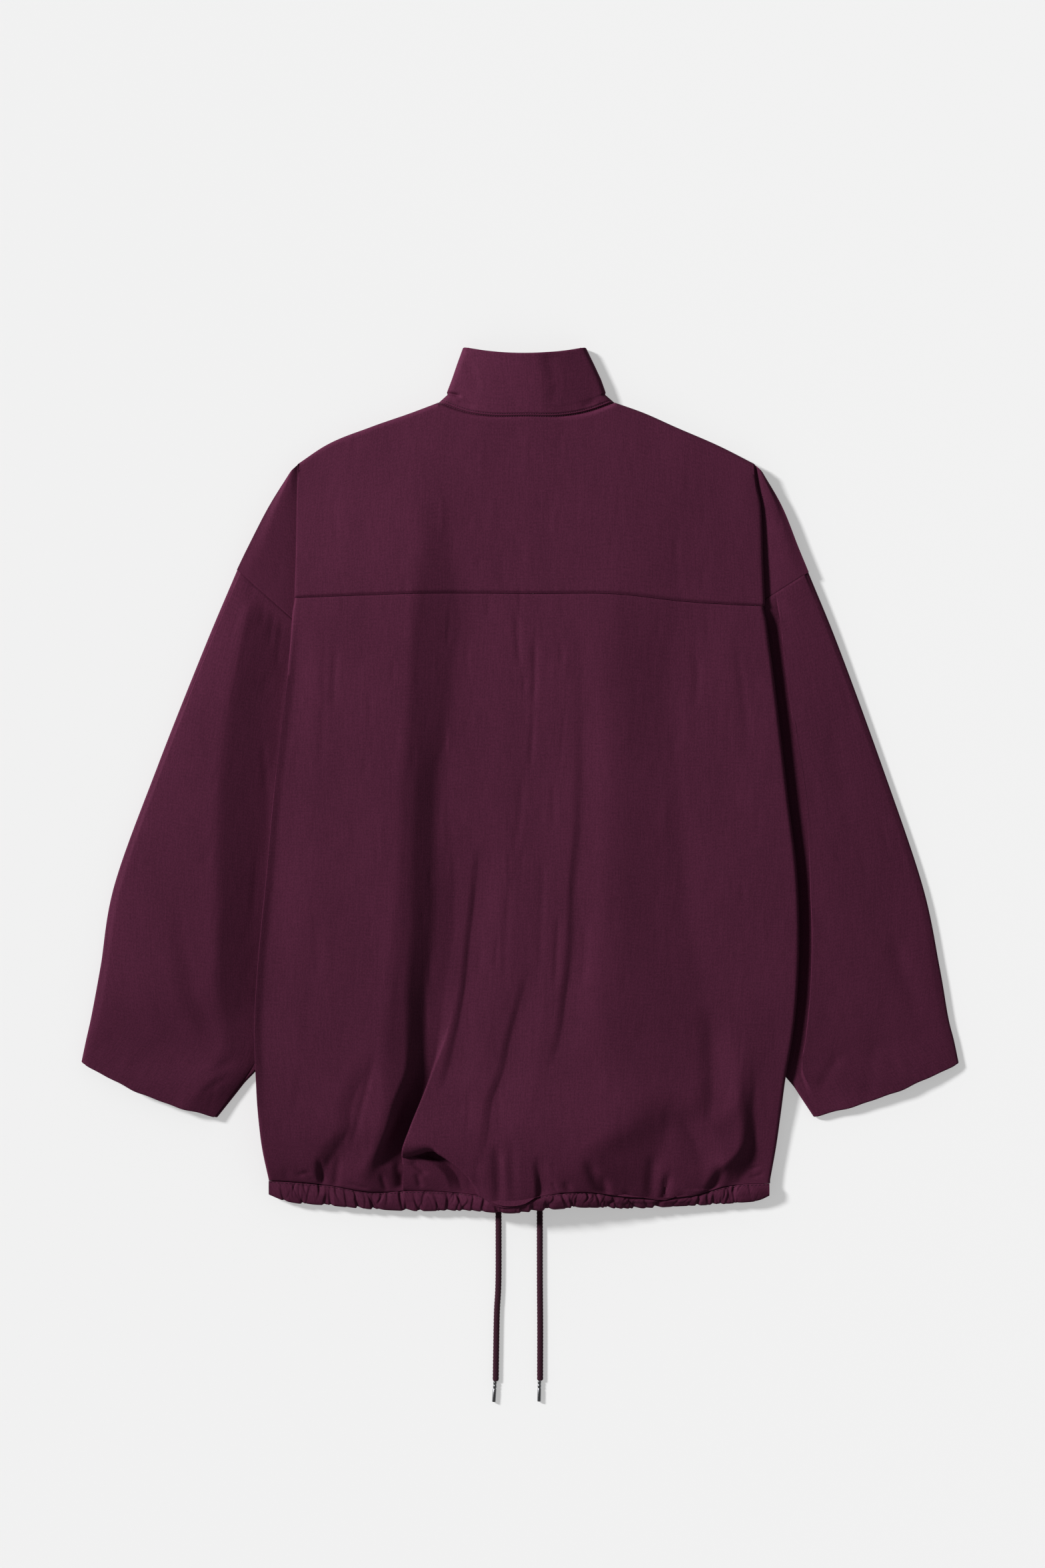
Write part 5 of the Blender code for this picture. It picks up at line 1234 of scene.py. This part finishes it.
def stitchTree():
    tree = bpy.data.node_groups.new("stitchRow", "GeometryNodeTree")
    face = tree.interface
    face.new_socket("Line", in_out="INPUT", socket_type="NodeSocketGeometry")
    for name, key in (("Stitch length", "length"), ("Gap", "gap"), ("Thread", "thread")):
        made = face.new_socket(name, in_out="INPUT", socket_type="NodeSocketFloat")
        made.default_value = stitch[key] * mm
    face.new_socket("Stitches", in_out="OUTPUT", socket_type="NodeSocketGeometry")
    inputs = tree.nodes.new("NodeGroupInput").outputs
    line, length, gap, thread = (Socket(tree, socket) for socket in inputs[:4])
    curve = line.node("GeometryNodeMeshToCurve", Mesh=line)
    spaced = line.node("GeometryNodeResampleCurve", {"mode": "LENGTH"}, Curve=curve, Length=length + gap)
    turned = line.node("FunctionNodeAlignRotationToVector", {"axis": "X"},
                       Vector=line.node("GeometryNodeInputTangent"))
    ball = line.node("GeometryNodeMeshUVSphere", Segments=stitch["sides"], Rings=stitch["rings"], Radius=0.5)
    size = line.node("ShaderNodeCombineXYZ", X=length, Y=thread, Z=thread)
    shaped = line.node("GeometryNodeTransform", Geometry=ball, Scale=size)
    many = line.node("GeometryNodeInstanceOnPoints", Points=spaced, Instance=shaped, Rotation=turned)
    real = line.node("GeometryNodeRealizeInstances", Geometry=many)
    painted = line.node("GeometryNodeSetMaterial", Geometry=real, Material=threadMaterial)
    tree.links.new(painted.socket, tree.nodes.new("NodeGroupOutput").inputs["Stitches"])
    return tree


stitchGroup = stitchTree()


def sewn(name, line, sizes):  # a row of stitches along a line
    mesh = bpy.data.meshes.new(name + "Line")
    mesh.from_pydata([tuple(p) for p in line * mm], [(i, i + 1) for i in range(len(line) - 1)], [])
    guide = bpy.data.objects.new(name + "Line", mesh)
    scene.collection.objects.link(guide)
    modifier = guide.modifiers.new("stitches", "NODES")
    modifier.node_group = stitchGroup
    for item in stitchGroup.interface.items_tree:
        if item.in_out == "INPUT" and item.name in sizes:
            modifier[item.identifier] = sizes[item.name] * mm
    graph = bpy.context.evaluated_depsgraph_get()
    plain = bpy.data.meshes.new_from_object(guide.evaluated_get(graph))
    guide.modifiers.remove(modifier)
    bpy.data.objects.remove(guide)
    plain.name = name
    plain.shade_smooth()
    made = bpy.data.objects.new(name, plain)
    scene.collection.objects.link(made)
    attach(made, "root")
    print("sewn", name, "with", len(plain.polygons), "faces")
    return made


def rowOn(grid, at, first, last, lift):  # a line on a cloth grid, between two of its rows
    low = int(at)
    part = at - low
    line = grid[low, first:last] * (1 - part) + grid[low + 1, first:last] * part
    return line + (0, 0, lift)


neckFrom = collar["frontColumns"] + stitch["neckInset"]
neckTo = collarGrid.shape[1] - neckFrom
for name, at in stitch["neckRows"].items():
    sewn(name, rowOn(collarGrid, at, neckFrom, neckTo, stitch["neckLift"]), stitch["neck"])
hemFrom, hemTo = stitch["hemInset"], hem["columns"] - stitch["hemInset"]
sewn("hemStitches", rowOn(hemGrid, stitch["hemRow"], hemFrom, hemTo, stitch["hemLift"]), stitch["hem"])


# floor and light
studio = {"key": (-7.5, 3.92, 4.68), "aim": (3.0, 2.3, 0.0), "spread": 64.0, "keyPower": 9450.0,
          "keyRadius": 0.80, "keyBlend": 1.0, "low": 0.70, "high": 0.05, "floor": 0.39, "floorGlow": 0.45,
          "palest": 0.98, "evenness": 0.77, "evenAt": (0.0, -0.1, 0.0), "floorReach": 9.0,
          "floorLevel": -0.0003}


def keyAim():
    return unit(np.array(studio["aim"], float) - np.array(studio["key"]))


def keyLevel(spot):  # the key's light on the floor at one place
    way = np.array(spot, float) - np.array(studio["key"])
    edge = math.cos(math.radians(studio["spread"] / 2))
    part = float(np.clip((unit(way) @ keyAim() - edge) / (1 - edge), 0, 1))
    return part * part * (3 - 2 * part) / np.linalg.norm(way) ** 3


def makeFloor():  # a plain pale floor, toned so that it stays even under the near light, and glowing a little: painted light that lifts the shadows on it
    mesh = bpy.data.meshes.new("floor")
    reach, level = studio["floorReach"], studio["floorLevel"]
    corners = [(x * reach, y * reach, level) for x, y in ((-1, -1), (1, -1), (1, 1), (-1, 1))]
    mesh.from_pydata(corners, [], [(0, 1, 2, 3)])
    floor = bpy.data.objects.new("floor", mesh)
    # the floor's glow is painted light, lifting the shadows that fall on it
    made, shader, start = newMaterial("paleFloor", {
        "Roughness": 0.9, "Specular IOR Level": 0.0, "Emission Color": (1, 1, 1, 1),
        "Emission Strength": studio["floorGlow"]})
    spot = start.node("ShaderNodeTexCoord", output=3)  # object coordinates
    way = start.node("ShaderNodeVectorMath", {"operation": "SUBTRACT"}, i0=spot, i1=studio["key"])
    away = start.node("ShaderNodeVectorMath", {"operation": "LENGTH"}, output=1, i0=way)
    along = start.node("ShaderNodeVectorMath", {"operation": "DOT_PRODUCT"}, output=1, i0=way,
                       i1=tuple(keyAim()))
    edge = math.cos(math.radians(studio["spread"] / 2))
    part = start.maths("MAXIMUM", (along / away - edge) / (1 - edge), 0.0)
    key = part * part * (3 - 2 * part) / (away * away * away * keyLevel(studio["evenAt"]))
    tone = studio["floor"] / (1 - studio["evenness"] + key * studio["evenness"])
    tone = start.maths("MINIMUM", tone, studio["palest"])
    feed(start, shader, Base_Color=start.node("ShaderNodeCombineColor", Red=tone, Green=tone, Blue=tone))
    mesh.materials.append(made)
    scene.collection.objects.link(floor)


def makeLight():
    lamp = bpy.data.lights.new("key", "SPOT")
    lamp.energy = studio["keyPower"]
    lamp.shadow_soft_size = studio["keyRadius"]
    lamp.spot_size = math.radians(studio["spread"])
    lamp.spot_blend = studio["keyBlend"]
    key = bpy.data.objects.new("key", lamp)
    key.location = studio["key"]
    key.rotation_euler = Vector(keyAim()).to_track_quat("-Z", "Y").to_euler()
    scene.collection.objects.link(key)
    world = bpy.data.worlds.new("studio")
    world.use_nodes = True
    scene.world = world
    tree = world.node_tree
    backdrop = tree.nodes["Background"]
    start = Socket(tree, tree.nodes.new("ShaderNodeTexCoord").outputs["Generated"])
    up = start.node("ShaderNodeSeparateXYZ", output=2, i0=start)
    glow = studio["low"] + up * (studio["high"] - studio["low"])
    tree.links.new(glow.socket, backdrop.inputs["Strength"])
    backdrop.inputs["Color"].default_value = (1, 1, 1, 1)


makeFloor()
makeLight()
print("floor and light ready")
